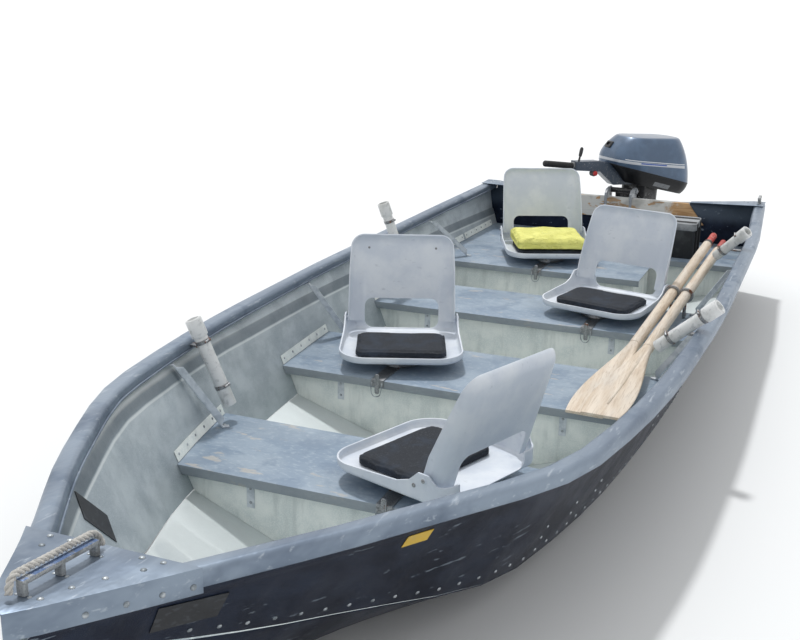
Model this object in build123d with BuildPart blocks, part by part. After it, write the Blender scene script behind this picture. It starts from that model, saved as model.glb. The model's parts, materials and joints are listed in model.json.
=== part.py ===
from build123d import *
from collections import namedtuple
from math import atan2, cos, degrees, hypot, pi, radians, sin, tan
import os

os.makedirs("parts", exist_ok=True)

# Frame: X runs to the bow, Y to port, Z up. The origin is amidships on the centreline at the waterline.

# Hull
HULL_LENGTH = 4750.0
STERN_X = -HULL_LENGTH / 2
BOW_X = HULL_LENGTH / 2
PLATE = 3.0
SEAM = 0.3
STEP_LEDGE = 8.0

# Distance from the stern, then half-breadth and height of the rail, the pressed step and the chine, and keel height
Station = namedtuple("Station", "x rail_y rail_z step_y step_z chine_y chine_z keel_z")
STATIONS = [
    Station(0, 743, 453, 700, 303, 628, 95, -100),
    Station(0.20 * HULL_LENGTH, 785, 437, 736, 325, 645, 88, -115),
    Station(0.40 * HULL_LENGTH, 785, 440, 736, 342, 640, 82, -120),
    Station(0.58 * HULL_LENGTH, 757, 447, 706, 368, 590, 88, -115),
    Station(0.74 * HULL_LENGTH, 664, 462, 606, 405, 475, 115, -85),
    Station(0.86 * HULL_LENGTH, 410, 509, 366, 448, 238, 245, 10),
    Station(0.95 * HULL_LENGTH, 151, 541, 118, 482, 72, 385, 215),
    Station(0.99 * HULL_LENGTH, 43, 562, 19, 508, 11, 468, 427),
]
TIP = Station(HULL_LENGTH, 13, 568, 6, 548, 5, 540, 520)
FRAME_SHARES = (0.25, 0.5, 0.75)

# Gunwale rails, which end short of the bow tip under the deck
RAIL_WIDTH = 55.0
RAIL_HEIGHT = 38.0
RAIL_EDGE = 9.0
RAIL_OVERHANG = 12.0
RAIL_SHORT = 210.0

# Bow deck plate
DECK_LENGTH = 289.0
DECK_SKIRT = 46.0

# Keel strip
KEEL_WIDTH = 24.0
KEEL_DEPTH = 18.0
KEEL_CLEAR = 3.0

# Transom with its dip, inner board and outer motor pad
TRANSOM_PLATE = 4.0
TRANSOM_RAKE = 10.0
TRANSOM_DIP = 33.0
TRANSOM_DIP_WIDTH = 640.0
INNER_PAD = 20.0
INNER_PAD_TOP_WIDTH = 720.0
INNER_PAD_FOOT_WIDTH = 900.0
INNER_PAD_HEIGHT = 110.0
OUTER_PAD = 12.0
OUTER_PAD_WIDTH = 300.0
OUTER_PAD_HEIGHT = 150.0

# Corner plates at the stern: inner end, reach along the rail and width at the inner end
CORNER_INBOARD = 372.0
CORNER_REACH = 130.0
CORNER_TOE = 34.0

# Benches: back and front edge from the stern, height of the top, and how far it runs to port before it is trimmed
FULL_BREADTH = 900.0
Bench = namedtuple("Bench", "back front height port_end")
BENCHES = [
    Bench(3104, 3493, 200, FULL_BREADTH),
    Bench(2202, 2634, 200, FULL_BREADTH),
    Bench(1337, 1737, 200, FULL_BREADTH),
    Bench(540, 1000, 225, 300),
]
STERN_DECK = Bench(96, 538, 225, FULL_BREADTH)
BENCH_LIP = 28.0
BENCH_RECESS = 30.0
BENCH_SHEET = 3.0
BOX_DEPTH = 430.0

# Braces: foot on a bench, head under the rail, and the sides that have one
Brace = namedtuple("Brace", "foot_x foot_y bench head_x sides")
BRACES = [
    Brace(3210, 540, 0, 3300, (1, -1)),
    Brace(2225, 590, 1, 2268, (1, -1)),
    Brace(1360, 600, 2, 1290, (1, -1)),
    Brace(880, 560, 3, 950, (-1,)),
]
BRACE_WIDTH = 16.0
BRACE_THICKNESS = 5.0
BRACE_FOOT = 20.0

# Rod holder tubes: lower and upper end of each centreline, clamp bands and the brackets to the rail
Tube = namedtuple("Tube", "low_x low_y low_z top_x top_y top_z")
TUBES = [
    Tube(3146, -550, 250, 3180, -650, 520),
    Tube(1560, -610, 300, 1614, -700, 600),
    Tube(2360, 602, 362, 2392, 790, 533),
    Tube(1015, 625, 380, 1080, 751, 515),
]
TUBE_RADIUS = 21.0
TUBE_WALL = 3.0
CLAMP_FIT = 0.05
BAND_WIDTH = 12.0
BAND_THICKNESS = 1.5
BAND_SHARES = (0.2, 0.72)
BRACKET_WIDTH = 24.0
BRACKET_THICKNESS = 6.0

# Bow handle: a low bar on three legs
HANDLE_AFT_X = BOW_X - 250
HANDLE_FORE_X = BOW_X - 60
HANDLE_RISE = 30.0
HANDLE_BAR = 10.0
HANDLE_WIDTH = 16.0
HANDLE_LEG = 12.0

# Rope along the handle: distance aft of the bow tip, distance to port, and height of its middle over the deck
ROPE_RADIUS = 7.0
RopePoint = namedtuple("RopePoint", "aft y height")
ROPE = [
    RopePoint(42, -6, 11),
    RopePoint(47, -8, 38),
    RopePoint(86, -8.5, 37.9),
    RopePoint(128, -7.5, 38.2),
    RopePoint(172, -8.5, 37.9),
    RopePoint(222, -7.5, 38.2),
    RopePoint(264, -8, 37.4),
    RopePoint(272, -6, 9),
]

# Battery box on the stern deck, its lid and its place
BATTERY_LENGTH = 190.0
BATTERY_WIDTH = 270.0
BATTERY_CORNER = 18.0
BATTERY_HEIGHT = 140.0
LID_HEIGHT = 34.0
LID_OVERHANG = 12.0
BATTERY = Vector(STERN_X + 370, 325, STERN_DECK.height + SEAM)

# Stern cleat: its place on the port corner plate, foot, throat under the horns, and horns
CLEAT = Vector(STERN_X + 45, 715, STATIONS[0].rail_z + SEAM + PLATE)
CLEAT_FOOT_LENGTH = 24.0
CLEAT_FOOT_WIDTH = 16.0
CLEAT_THROAT = 22.0
CLEAT_LENGTH = 90.0
CLEAT_WIDTH = 14.0
CLEAT_HORN = 10.0

# Oars stowed along the port side: grip end and blade tip
Oar = namedtuple("Oar", "grip_x grip_y grip_z tip_x tip_y tip_z")
OARS = [
    Oar(560, 560, 372, 2655, 437, 203.4),
    Oar(570, 608, 345, 2705, 496, 226),
]
OAR_SHAFT = 21.0
OAR_GRIP = 16.0
OAR_GRIP_LENGTH = 130.0
BLADE_LENGTH = 620.0
BLADE_WIDTH = 132.0
BLADE_THICKNESS = 9.0
BLADE_EDGE = 0.45

# Blade sections: distance from the end of the shaft, width and thickness
BladeSection = namedtuple("BladeSection", "reach width thickness")
BLADE_SECTIONS = [
    BladeSection(0, 1.8 * OAR_SHAFT, 1.8 * OAR_SHAFT),
    BladeSection(0.29 * BLADE_LENGTH, 0.6 * BLADE_WIDTH, OAR_SHAFT),
    BladeSection(0.61 * BLADE_LENGTH, BLADE_WIDTH, BLADE_THICKNESS),
    BladeSection(BLADE_LENGTH, 0.93 * BLADE_WIDTH, BLADE_THICKNESS),
]

# Oarlock rings, and their pins on the third bench
OARLOCK_X = 1425.0
OARLOCK_RING = 5.0
OARLOCK_PIN = 7.0

# Swivel seats: place on the boat, bench, and the way each one faces
Seat = namedtuple("Seat", "x y bench facing")
SEATS = [
    Seat(3258, 112, 0, -110),
    Seat(2426, -279, 1, 22),
    Seat(1530, 232, 2, -13),
    Seat(785, -178, 3, 25),
]

# Seat pan: a tapered tray. X runs to the seat's front from the turntable's axis.
PAN_FRONT = 155.0
PAN_REAR = -260.0
PAN_FRONT_WIDTH = 440.0
PAN_REAR_WIDTH = 414.0
PAN_FRONT_CORNER = 95.0
PAN_REAR_CORNER = 50.0
PAN_WALL = 5.0
PAN_BASE = 40.0
PAN_ROUND = 16.0
PAN_BLOCK = 120.0

# The pan's rim in side view, from its front edge to its rear edge
RIM_LINE = [
    (PAN_FRONT, 66),
    (60, 70),
    (-110, 80),
    (-150, 94),
    (-180, 122),
    (-214, 122),
    (-236, 96),
    (PAN_REAR, 92),
]

# Hinge pins that join the pan's cheeks to the back
HINGE_X = -200.0
HINGE_Z = 105.0
HINGE_PIN = 5.0
PIN_FIT = 0.05
PIN_REACH = 12.0
HINGE_HEAD = 9.0
HINGE_HEAD_THICKNESS = 3.0

# Seat pad
PAD_LENGTH = 250.0
PAD_WIDTH = 338.0
PAD_CORNER = 40.0
PAD_THICKNESS = 22.0
PAD_ROUND = 7.0
PAD_X = -24.0

# Seat back: a leaning tray with side wings, and the low slot through it and through the pan's rear wall
BACK_FOOT_WIDTH = 396.0
BACK_TOP_WIDTH = 390.0
BACK_FOOT = 12.0
BACK_HEIGHT = 320.0
BACK_CORNER = 54.0
BACK_SETBACK = 45.0
BACK_WALL = 4.0
BACK_ROUND = 46.0
BACK_RECLINE = 16.5
WING_FOOT = 14.0
WING_FOOT_HEIGHT = 62.0
WING_TOP = -26.0
SLOT_WIDTH = 276.0
SLOT_HEIGHT = 74.0
SLOT_FLOOR = 50.0
SLOT_ROUND = 30.0

# Seat bases: clamp strap, its hook over the bench's front edge, cam lever and turntable
TURNTABLE_RADIUS = 70.0
STRAP_WIDTH = 46.0
STRAP_THICKNESS = 4.0
STRAP_LENGTH = 330.0
STRAP_HOOK = 22.0
LEVER_WIDTH = 16.0
LEVER_LENGTH = 70.0

# Cushion on the seat nearest the stern
CUSHION_LENGTH = 330.0
CUSHION_WIDTH = 372.0
CUSHION_THICKNESS = 56.0
CUSHION_CORNER = 40.0
CUSHION_ROUND = 16.0
CUSHION_X = -46.0

# Outboard motor: tilt axis, and the steering axis with the angle the motor is turned to
STEER_SETBACK = 165.0
STEER_ANGLE = -43.0
TILT_SETBACK = 45.0
TILT_Z = 448.0
TILT_PIN = 8.0
TILT_TUBE = 14.0

# Motor clamp: two plates over the transom, their profile, and the jaw screws
CLAMP_INSIDE = 60.0
CLAMP_PLATE = 12.0
CLAMP_TOP = 466.0
CLAMP_CREST = 42.0
CLAMP_EAR = 76.0
CLAMP_EAR_Z = 436.0
CLAMP_BACK = 62.0
CLAMP_BACK_Z = 310.0
CLAMP_FRONT = 72.0
CLAMP_FRONT_Z = 448.0
CLAMP_JAW = 54.0
CLAMP_JAW_LOW = 322.0
CLAMP_FOOT = 160.0
CLAMP_FOOT_DEPTH = 26.0
JAW_SCREW = 7.0
JAW_SCREW_Z = 348.0
JAW_SCREW_REACH = 40.0
JAW_PAD = 17.0
JAW_PAD_THICKNESS = 4.0
JAW_PAD_GAP = 3.5

# Swivel bracket between the clamp plates, and the yokes that hold the leg on its pin
SWIVEL_TUBE = 28.0
SWIVEL_PIN = 15.0
SWIVEL_LOW = 165.0
SWIVEL_HIGH = 445.0
SWIVEL_WIDTH = 76.0
SWIVEL_WEB = 40.0
SWIVEL_WEB_LOW = 60.0
YOKE = 20.0
YOKE_GAP = 1.0
YOKE_WIDTH = 56.0

# Leg sections: height, length and width
LegSection = namedtuple("LegSection", "z length width")
LEG = [
    LegSection(-100, 150, 58),
    LegSection(150, 140, 74),
    LegSection(470, 150, 110),
]
LEG_AFT = 116.0
STREAMLINE = 0.42

# Gearcase: plate over the propeller, strut, torpedo and skeg
PLATE_Z = -122.0
PLATE_LENGTH = 330.0
PLATE_WIDTH = 176.0
PLATE_CORNER = 70.0
PLATE_AFT = 150.0
PLATE_THICKNESS = 6.0
PROP_Z = -258.0
STRUT_TOP_LENGTH = 175.0
STRUT_TOP_WIDTH = 44.0
STRUT_FOOT_LENGTH = 200.0
STRUT_FOOT_WIDTH = 40.0
TORPEDO_RADIUS = 38.0
TORPEDO_NOSE = 10.0
TORPEDO_TAIL = -250.0
SKEG_THICKNESS = 7.0
SKEG_LINE = [(-40, 0), (-190, 0), (-205, -148), (-120, -152)]
SHAFT_RADIUS = 8.0
SHAFT_LENGTH = 110.0

# Propeller: hub, and the blade sections by distance from the shaft, chord, pitch angle and thickness
HUB_RADIUS = 30.0
HUB_LENGTH = 92.0
HUB_GAP = 6.0
HUB_BORE = 20.0
BLADES = 3
PropSection = namedtuple("PropSection", "reach chord pitch thickness")
PROP_SECTIONS = [
    PropSection(22, 62, 50, 9),
    PropSection(78, 96, 30, 6),
    PropSection(116, 52, 20, 3),
]

# Cowl and lower pan. The joint between them slopes down to the rear.
SEAM_FRONT = Vector(140, 0, 588)
SEAM_REAR = Vector(-345, 0, 462)
SEAM_SLOPE = degrees(atan2(SEAM_FRONT.Z - SEAM_REAR.Z, SEAM_FRONT.X - SEAM_REAR.X))
SEAM_LENGTH = (SEAM_FRONT - SEAM_REAR).length
COWL_WIDTH = 310.0
COWL_WALL = 4.0
COWL_TOP_ROUND = 24.0

# Each section slopes, has its middle ahead of the steering axis at a height, and a length, width and corner
Section = namedtuple("Section", "slope ahead z length width corner")
COWL_SECTIONS = [
    Section(SEAM_SLOPE, -102, 525, SEAM_LENGTH, COWL_WIDTH, 110),
    Section(SEAM_SLOPE * 0.45, -100, 640, 448, COWL_WIDTH - 10, 112),
    Section(SEAM_SLOPE * 0.2, -114, 722, 345, COWL_WIDTH - 84, 98),
]
PAN_SECTIONS = [
    COWL_SECTIONS[0],
    Section(SEAM_SLOPE, -120, 487, SEAM_LENGTH - 50, COWL_WIDTH - 40, 95),
    Section(13, -140, 442, 380, 200, 80),
]

# Block that stands for the closed-in engine
BLOCK_LENGTH = 250.0
BLOCK_WIDTH = 180.0
BLOCK_HEIGHT = 150.0

# Tiller: side profile of the arm ahead of the steering axis, and the grip on its end
ARM_WIDTH = 58.0
ARM_END = 360.0
ARM_LINE = [
    (-20, 466),
    (112, 470),
    (205, 547),
    (ARM_END, 561),
    (ARM_END - 5, 608),
    (215, 604),
    (152, 592),
    (60, 530),
    (-20, 520),
]
GRIP_START_Z = 582.0
GRIP_END = 545.0
GRIP_END_Z = 604.0
GRIP_RADIUS = 17.0
GRIP_ROUND = 5.0
LEVER_THICKNESS = 12.0
LEVER_LINE = [(268, 606.3), (290, 607.3), (338, 680), (322, 688)]


def inset(points, distance):
    """Points of a line moved inboard by a distance, with mitred corners. The line runs from port to starboard."""
    moved = []
    for i, (y, z) in enumerate(points):
        before = points[i - 1] if i > 0 else points[i]
        after = points[i + 1] if i < len(points) - 1 else points[i]
        normals = []
        for (y0, z0), (y1, z1) in ((before, (y, z)), ((y, z), after)):
            run = hypot(y1 - y0, z1 - z0)
            if run > 0:
                normals.append(((z1 - z0) / run, -(y1 - y0) / run))
        ny = sum(n[0] for n in normals) / len(normals)
        nz = sum(n[1] for n in normals) / len(normals)
        scale = distance / (ny * ny + nz * nz)
        moved.append((y + ny * scale, z + nz * scale))
    return moved


def plate_outline(points, thickness):
    """Closed outline of a plate whose outer face follows the points."""
    return points + inset(points, thickness)[::-1]


def levelled(points, distance):
    """Inset line whose two ends stay at the height of the outer ones."""
    moved = inset(points, distance)
    for end, near in ((0, 1), (-1, -2)):
        (y0, z0), (y1, z1) = points[end], points[near]
        width = distance * hypot(y1 - y0, z1 - z0) / abs(z1 - z0)
        moved[end] = (y0 - width, z0)
    return moved


def side_line(s):
    """Outer face of the port side, from under the rail down to the chine."""
    lap = (PLATE + SEAM) * hypot(s.chine_y, s.chine_z - s.keel_z) / s.chine_y + SEAM
    lean = (s.step_y - s.chine_y) / (s.step_z - STEP_LEDGE - s.chine_z)
    return [
        (s.rail_y - RAIL_OVERHANG, s.rail_z - RAIL_HEIGHT - SEAM),
        (s.step_y + STEP_LEDGE, s.step_z),
        (s.step_y, s.step_z - STEP_LEDGE),
        (s.chine_y + lean * lap, s.chine_z + lap),
    ]


def bottom_line(s):
    """Outer face of the bottom, from the port chine over the keel to the starboard chine."""
    return [(s.chine_y, s.chine_z), (0, s.keel_z), (-s.chine_y, s.chine_z)]


def rail_outline(s):
    """Outline of the port rail, with the upper edges broken."""
    return [
        (s.rail_y, s.rail_z - RAIL_HEIGHT),
        (s.rail_y, s.rail_z - RAIL_EDGE),
        (s.rail_y - RAIL_EDGE, s.rail_z),
        (s.rail_y - RAIL_WIDTH + RAIL_EDGE, s.rail_z),
        (s.rail_y - RAIL_WIDTH, s.rail_z - RAIL_EDGE),
        (s.rail_y - RAIL_WIDTH, s.rail_z - RAIL_HEIGHT),
    ]


def inside_outline(s):
    """Room between the plates and below the rails, with the seam left free all round."""
    half = inset(side_line(s)[:3] + bottom_line(s)[:2], PLATE + SEAM)
    half[0] = levelled(side_line(s), PLATE + SEAM)[0]
    half[-1] = (0, inset(bottom_line(s), PLATE + SEAM)[1][1])
    rail_inside = s.rail_y - RAIL_WIDTH - SEAM
    port = [(rail_inside, s.rail_z), (rail_inside, s.rail_z - RAIL_HEIGHT - SEAM)] + half
    return port + [(-y, z) for y, z in port[-2::-1]]


def fair(before, start, end, after, x):
    """Value at x on a smooth curve that never swings past its points. Each point is a pair of x and value."""

    def slope(a, b, c):
        left = (b[1] - a[1]) / (b[0] - a[0]) if a else 0
        right = (c[1] - b[1]) / (c[0] - b[0]) if c else 0
        if a is None or c is None:
            return left + right
        return 2 * left * right / (left + right) if left * right > 0 else 0

    span = end[0] - start[0]
    t = (x - start[0]) / span
    m0 = slope(before, start, end) * span
    m1 = slope(start, end, after) * span
    rise = end[1] - start[1]
    return start[1] + m0 * t + (3 * rise - 2 * m0 - m1) * t**2 + (m0 + m1 - 2 * rise) * t**3


def faired_station(i, share):
    """Station at a share of the way between two rows of the table."""
    rows = [STATIONS[k] if 0 <= k < len(STATIONS) else None for k in range(i - 1, i + 3)]
    x = rows[1].x + (rows[2].x - rows[1].x) * share
    values = [x]
    for field in Station._fields[1:]:
        points = [(row.x, getattr(row, field)) if row else None for row in rows]
        values.append(fair(*points, x))
    return Station(*values)


def station_plane(s):
    return Plane.YZ.offset(STERN_X + s.x)


def transom_x(z):
    """Distance of the transom's outer face from the stern at a height."""
    return (STATIONS[0].rail_z - z) * tan(radians(TRANSOM_RAKE))


FRAMES = []
for i, row in enumerate(STATIONS[:-1]):
    FRAMES += [row] + [faired_station(i, share) for share in FRAME_SHARES]
FRAMES.append(STATIONS[-1])
INSIDE_FRAMES = [s for s in FRAMES if s.x <= STATIONS[5].x]
TRANSOM_PLANE = Plane(
    origin=(STERN_X, 0, STATIONS[0].rail_z),
    x_dir=(0, -1, 0),
    z_dir=(-cos(radians(TRANSOM_RAKE)), 0, -sin(radians(TRANSOM_RAKE))),
)


def frame_at(x):
    """Section of the hull at any distance from the stern."""
    sections = FRAMES + [TIP]
    after = next(i for i, s in enumerate(sections) if s.x > x)
    start, end = sections[after - 1], sections[after]
    share = (x - start.x) / (end.x - start.x)
    return Station(*(p + (q - p) * share for p, q in zip(start, end)))


# Hull plates
with BuildPart() as bottom_plate:
    for s in FRAMES:
        with BuildSketch(station_plane(s)):
            Polygon(*plate_outline(bottom_line(s), PLATE), align=None)
    loft(ruled=True)
    split(bisect_by=TRANSOM_PLANE, keep=Keep.BOTTOM)

with BuildPart() as side_port:
    for s in FRAMES:
        with BuildSketch(station_plane(s)):
            Polygon(*side_line(s), *levelled(side_line(s), PLATE)[::-1], align=None)
    loft(ruled=True)
    split(bisect_by=TRANSOM_PLANE, keep=Keep.BOTTOM)

with BuildPart() as side_starboard:
    add(side_port.part)
    mirror(about=Plane.XZ, mode=Mode.REPLACE)

with BuildPart() as hull_inside:
    for s in INSIDE_FRAMES:
        with BuildSketch(station_plane(s)):
            Polygon(*inside_outline(s), align=None)
    loft(ruled=True)

# Gunwale rails end under the bow deck
with BuildPart() as gunwale_port:
    for s in FRAMES + [TIP]:
        with BuildSketch(station_plane(s)):
            Polygon(*rail_outline(s), align=None)
    loft(ruled=True)
    split(bisect_by=TRANSOM_PLANE, keep=Keep.BOTTOM)
    split(bisect_by=Plane.YZ.offset(BOW_X - RAIL_SHORT), keep=Keep.BOTTOM)

with BuildPart() as gunwale_starboard:
    add(gunwale_port.part)
    mirror(about=Plane.XZ, mode=Mode.REPLACE)

# Bow deck wraps over both rails down to the skirt
with BuildPart() as bow_deck:
    for s in FRAMES + [TIP]:
        port = [
            (s.rail_y + SEAM, s.rail_z - DECK_SKIRT),
            (s.rail_y + SEAM + PLATE, s.rail_z - DECK_SKIRT),
            (s.rail_y + SEAM + PLATE, s.rail_z + SEAM + PLATE),
        ]
        under = (s.rail_y + SEAM, s.rail_z + SEAM)
        outline = [under] + port + [(-y, z) for y, z in port[::-1]] + [(-under[0], under[1])]
        with BuildSketch(station_plane(s)):
            Polygon(*outline, align=None)
    loft(ruled=True)
    split(bisect_by=Plane.YZ.offset(BOW_X - DECK_LENGTH), keep=Keep.TOP)

# Keel strip follows the keel and climbs the stem
with BuildPart() as keel_strip:
    for s in FRAMES:
        half = KEEL_WIDTH / 2
        rise = max(0, half * (s.chine_z - s.keel_z) / s.chine_y - KEEL_CLEAR)
        with BuildSketch(station_plane(s)):
            Polygon(
                (0, s.keel_z - SEAM),
                (-half, s.keel_z + rise - SEAM),
                (-half, s.keel_z - KEEL_DEPTH),
                (half, s.keel_z - KEEL_DEPTH),
                (half, s.keel_z + rise - SEAM),
                align=None,
            )
    loft(ruled=True)
    split(bisect_by=TRANSOM_PLANE, keep=Keep.BOTTOM)

# Transom
CORNER = STATIONS[0]
DIP_Z = CORNER.rail_z - TRANSOM_DIP
with BuildPart() as transom:
    add(hull_inside.part)
    split(bisect_by=TRANSOM_PLANE, keep=Keep.BOTTOM)
    split(bisect_by=TRANSOM_PLANE.offset(-TRANSOM_PLATE), keep=Keep.TOP)
    with BuildSketch(Plane.YZ.offset(STERN_X)):
        Polygon(
            (CORNER.rail_y - RAIL_WIDTH, CORNER.rail_z),
            (RAIL_WIDTH - CORNER.rail_y, CORNER.rail_z),
            (-TRANSOM_DIP_WIDTH / 2, CORNER.rail_z - TRANSOM_DIP),
            (TRANSOM_DIP_WIDTH / 2, CORNER.rail_z - TRANSOM_DIP),
            align=None,
        )
    extrude(amount=2 * TRANSOM_DIP, both=True, mode=Mode.SUBTRACT)

# Transom pads: a board inside and the motor pad outside
DIP_FALL = TRANSOM_DIP / cos(radians(TRANSOM_RAKE))
with BuildPart() as transom_pads:
    with BuildSketch(TRANSOM_PLANE):
        with Locations((0, -DIP_FALL - OUTER_PAD_HEIGHT / 2)):
            Rectangle(OUTER_PAD_WIDTH, OUTER_PAD_HEIGHT)
    extrude(amount=OUTER_PAD)
    with BuildSketch(TRANSOM_PLANE.offset(-TRANSOM_PLATE)):
        Polygon(
            (INNER_PAD_TOP_WIDTH / 2, -DIP_FALL),
            (-INNER_PAD_TOP_WIDTH / 2, -DIP_FALL),
            (-INNER_PAD_FOOT_WIDTH / 2, -DIP_FALL - INNER_PAD_HEIGHT),
            (INNER_PAD_FOOT_WIDTH / 2, -DIP_FALL - INNER_PAD_HEIGHT),
            align=None,
        )
    extrude(amount=-INNER_PAD)
    split(bisect_by=Plane.XY.offset(DIP_Z), keep=Keep.BOTTOM)

# Corner plates lie on the rails and slope down along the transom
with BuildPart() as corner_plates:
    rail_inside = CORNER.rail_y - RAIL_WIDTH
    fall = TRANSOM_DIP * (rail_inside - CORNER_INBOARD) / (rail_inside - TRANSOM_DIP_WIDTH / 2)
    with BuildSketch(Plane.YZ.offset(STERN_X)):
        Polygon(
            (CORNER.rail_y, CORNER.rail_z + SEAM),
            (rail_inside, CORNER.rail_z + SEAM),
            (CORNER_INBOARD, CORNER.rail_z + SEAM - fall),
            (CORNER_INBOARD, CORNER.rail_z + SEAM - fall + PLATE),
            (rail_inside, CORNER.rail_z + SEAM + PLATE),
            (CORNER.rail_y, CORNER.rail_z + SEAM + PLATE),
            align=None,
        )
    extrude(amount=CORNER_REACH)
    with BuildSketch(Plane.XY.offset(CORNER.rail_z - TRANSOM_DIP)):
        Polygon(
            (STERN_X, CORNER.rail_y),
            (STERN_X + CORNER_REACH, CORNER.rail_y),
            (STERN_X + CORNER_REACH, rail_inside),
            (STERN_X + CORNER_TOE, CORNER_INBOARD),
            (STERN_X, CORNER_INBOARD),
            align=None,
        )
    extrude(amount=2 * TRANSOM_DIP, mode=Mode.INTERSECT)
    mirror(about=Plane.XZ)

# Bench tops are folded sheets, trimmed to the hull's inside
transom_inside = transom_x(STERN_DECK.height - BENCH_LIP) + TRANSOM_PLATE / cos(radians(TRANSOM_RAKE))
deck = STERN_DECK._replace(back=transom_inside + SEAM)
with BuildPart() as bench_tops:
    for b in BENCHES + [deck]:
        back = STERN_X + b.back
        front = STERN_X + b.front
        with BuildSketch(Plane.XZ.offset(-b.port_end)):
            Polygon(
                (back, b.height - BENCH_LIP),
                (back, b.height),
                (front, b.height),
                (front, b.height - BENCH_LIP),
                (front - BENCH_SHEET, b.height - BENCH_LIP),
                (front - BENCH_SHEET, b.height - BENCH_SHEET),
                (back + BENCH_SHEET, b.height - BENCH_SHEET),
                (back + BENCH_SHEET, b.height - BENCH_LIP),
                align=None,
            )
        extrude(amount=b.port_end + FULL_BREADTH)
    add(hull_inside.part, mode=Mode.INTERSECT)
    split(bisect_by=TRANSOM_PLANE.offset(-TRANSOM_PLATE - SEAM), keep=Keep.BOTTOM)

with BuildPart() as bench_boxes:
    for b in BENCHES + [deck]:
        back = STERN_X + b.back + BENCH_RECESS
        front = STERN_X + b.front - BENCH_RECESS
        with BuildSketch(Plane.XZ.offset(-b.port_end + BENCH_RECESS)):
            Polygon(
                (back, b.height - BOX_DEPTH),
                (back, b.height - BENCH_SHEET),
                (front, b.height - BENCH_SHEET),
                (front, b.height - BOX_DEPTH),
                align=None,
            )
        extrude(amount=b.port_end + FULL_BREADTH)
    add(hull_inside.part, mode=Mode.INTERSECT)
    split(bisect_by=TRANSOM_PLANE.offset(-TRANSOM_PLATE - SEAM), keep=Keep.BOTTOM)

# Braces run from a bench up to the underside of the rail, bent flat at both ends
with BuildPart() as braces:
    for b in BRACES:
        rail = frame_at(b.head_x)
        foot = Vector(STERN_X + b.foot_x, b.foot_y, BENCHES[b.bench].height + SEAM)
        head_y = rail.rail_y - RAIL_WIDTH
        head = Vector(STERN_X + b.head_x, head_y, rail.rail_z - RAIL_HEIGHT - SEAM)
        run = hypot(head.X - foot.X, head.Y - foot.Y)
        rise = head.Z - foot.Z
        bend = BRACE_THICKNESS / 3
        for side in b.sides:
            out = Vector((head.X - foot.X) / run, side * (head.Y - foot.Y) / run, 0)
            with BuildSketch(Plane(origin=(foot.X, side * foot.Y, foot.Z), x_dir=out, z_dir=(out.Y, -out.X, 0))):
                Polygon(
                    (-BRACE_FOOT, 0),
                    (-BRACE_FOOT, BRACE_THICKNESS),
                    (-bend, BRACE_THICKNESS),
                    (run - bend, rise),
                    (run + BRACE_FOOT, rise),
                    (run + BRACE_FOOT, rise - BRACE_THICKNESS),
                    (run + bend, rise - BRACE_THICKNESS),
                    (bend, 0),
                    align=None,
                )
            extrude(amount=BRACE_WIDTH / 2, both=True)


def tube_axis(t):
    """Lower and upper end of a tube's centreline."""
    return Vector(STERN_X + t.low_x, t.low_y, t.low_z), Vector(STERN_X + t.top_x, t.top_y, t.top_z)


# Open rod holder tubes
with BuildPart() as rod_holders:
    for t in TUBES:
        low, top = tube_axis(t)
        with BuildSketch(Plane(origin=low, z_dir=top - low)):
            Circle(TUBE_RADIUS)
            Circle(TUBE_RADIUS - TUBE_WALL, mode=Mode.SUBTRACT)
        extrude(amount=(top - low).length)

# Each tube is held by a bracket to the rail's inner face and by two bands
with BuildPart() as tube_clamps:
    for t in TUBES:
        low, top = tube_axis(t)
        side = 1 if t.low_y > 0 else -1
        rail = frame_at(t.low_x)
        level = rail.rail_z - RAIL_HEIGHT / 2
        hold = low + (top - low) * ((level - low.Z) / (top.Z - low.Z))
        edges = []
        for x in (hold.X - BRACKET_WIDTH / 2, hold.X + BRACKET_WIDTH / 2):
            edges.append((x, side * (frame_at(x - STERN_X).rail_y - RAIL_WIDTH - SEAM)))
        with BuildSketch(Plane.XY.offset(level - BRACKET_THICKNESS / 2)):
            Polygon((edges[0][0], hold.Y), *edges, (edges[1][0], hold.Y), align=None)
        extrude(amount=BRACKET_THICKNESS)
        for share in BAND_SHARES:
            with BuildSketch(Plane(origin=low + (top - low) * share, z_dir=top - low)):
                Circle(TUBE_RADIUS + CLAMP_FIT + BAND_THICKNESS)
            extrude(amount=BAND_WIDTH)
        with BuildSketch(Plane(origin=low, z_dir=top - low)):
            Circle(TUBE_RADIUS + CLAMP_FIT)
        extrude(amount=(top - low).length, mode=Mode.SUBTRACT)


def deck_top(x):
    """Height of the bow deck's upper face on the centreline."""
    return frame_at(x - STERN_X).rail_z + SEAM + PLATE


# Bow handle
with BuildPart() as bow_handle:
    with BuildSketch(Plane.XZ):
        Polygon(
            (HANDLE_AFT_X, deck_top(HANDLE_AFT_X) + HANDLE_RISE),
            (HANDLE_FORE_X, deck_top(HANDLE_FORE_X) + HANDLE_RISE),
            (HANDLE_FORE_X, deck_top(HANDLE_FORE_X) + HANDLE_RISE - HANDLE_BAR),
            (HANDLE_AFT_X, deck_top(HANDLE_AFT_X) + HANDLE_RISE - HANDLE_BAR),
            align=None,
        )
        for x in (HANDLE_AFT_X, (HANDLE_AFT_X + HANDLE_FORE_X - HANDLE_LEG) / 2, HANDLE_FORE_X - HANDLE_LEG):
            Polygon(
                (x, deck_top(x) + SEAM),
                (x, deck_top(x) + HANDLE_RISE - HANDLE_BAR / 2),
                (x + HANDLE_LEG, deck_top(x + HANDLE_LEG) + HANDLE_RISE - HANDLE_BAR / 2),
                (x + HANDLE_LEG, deck_top(x + HANDLE_LEG) + SEAM),
                align=None,
            )
    extrude(amount=HANDLE_WIDTH / 2, both=True)

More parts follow.
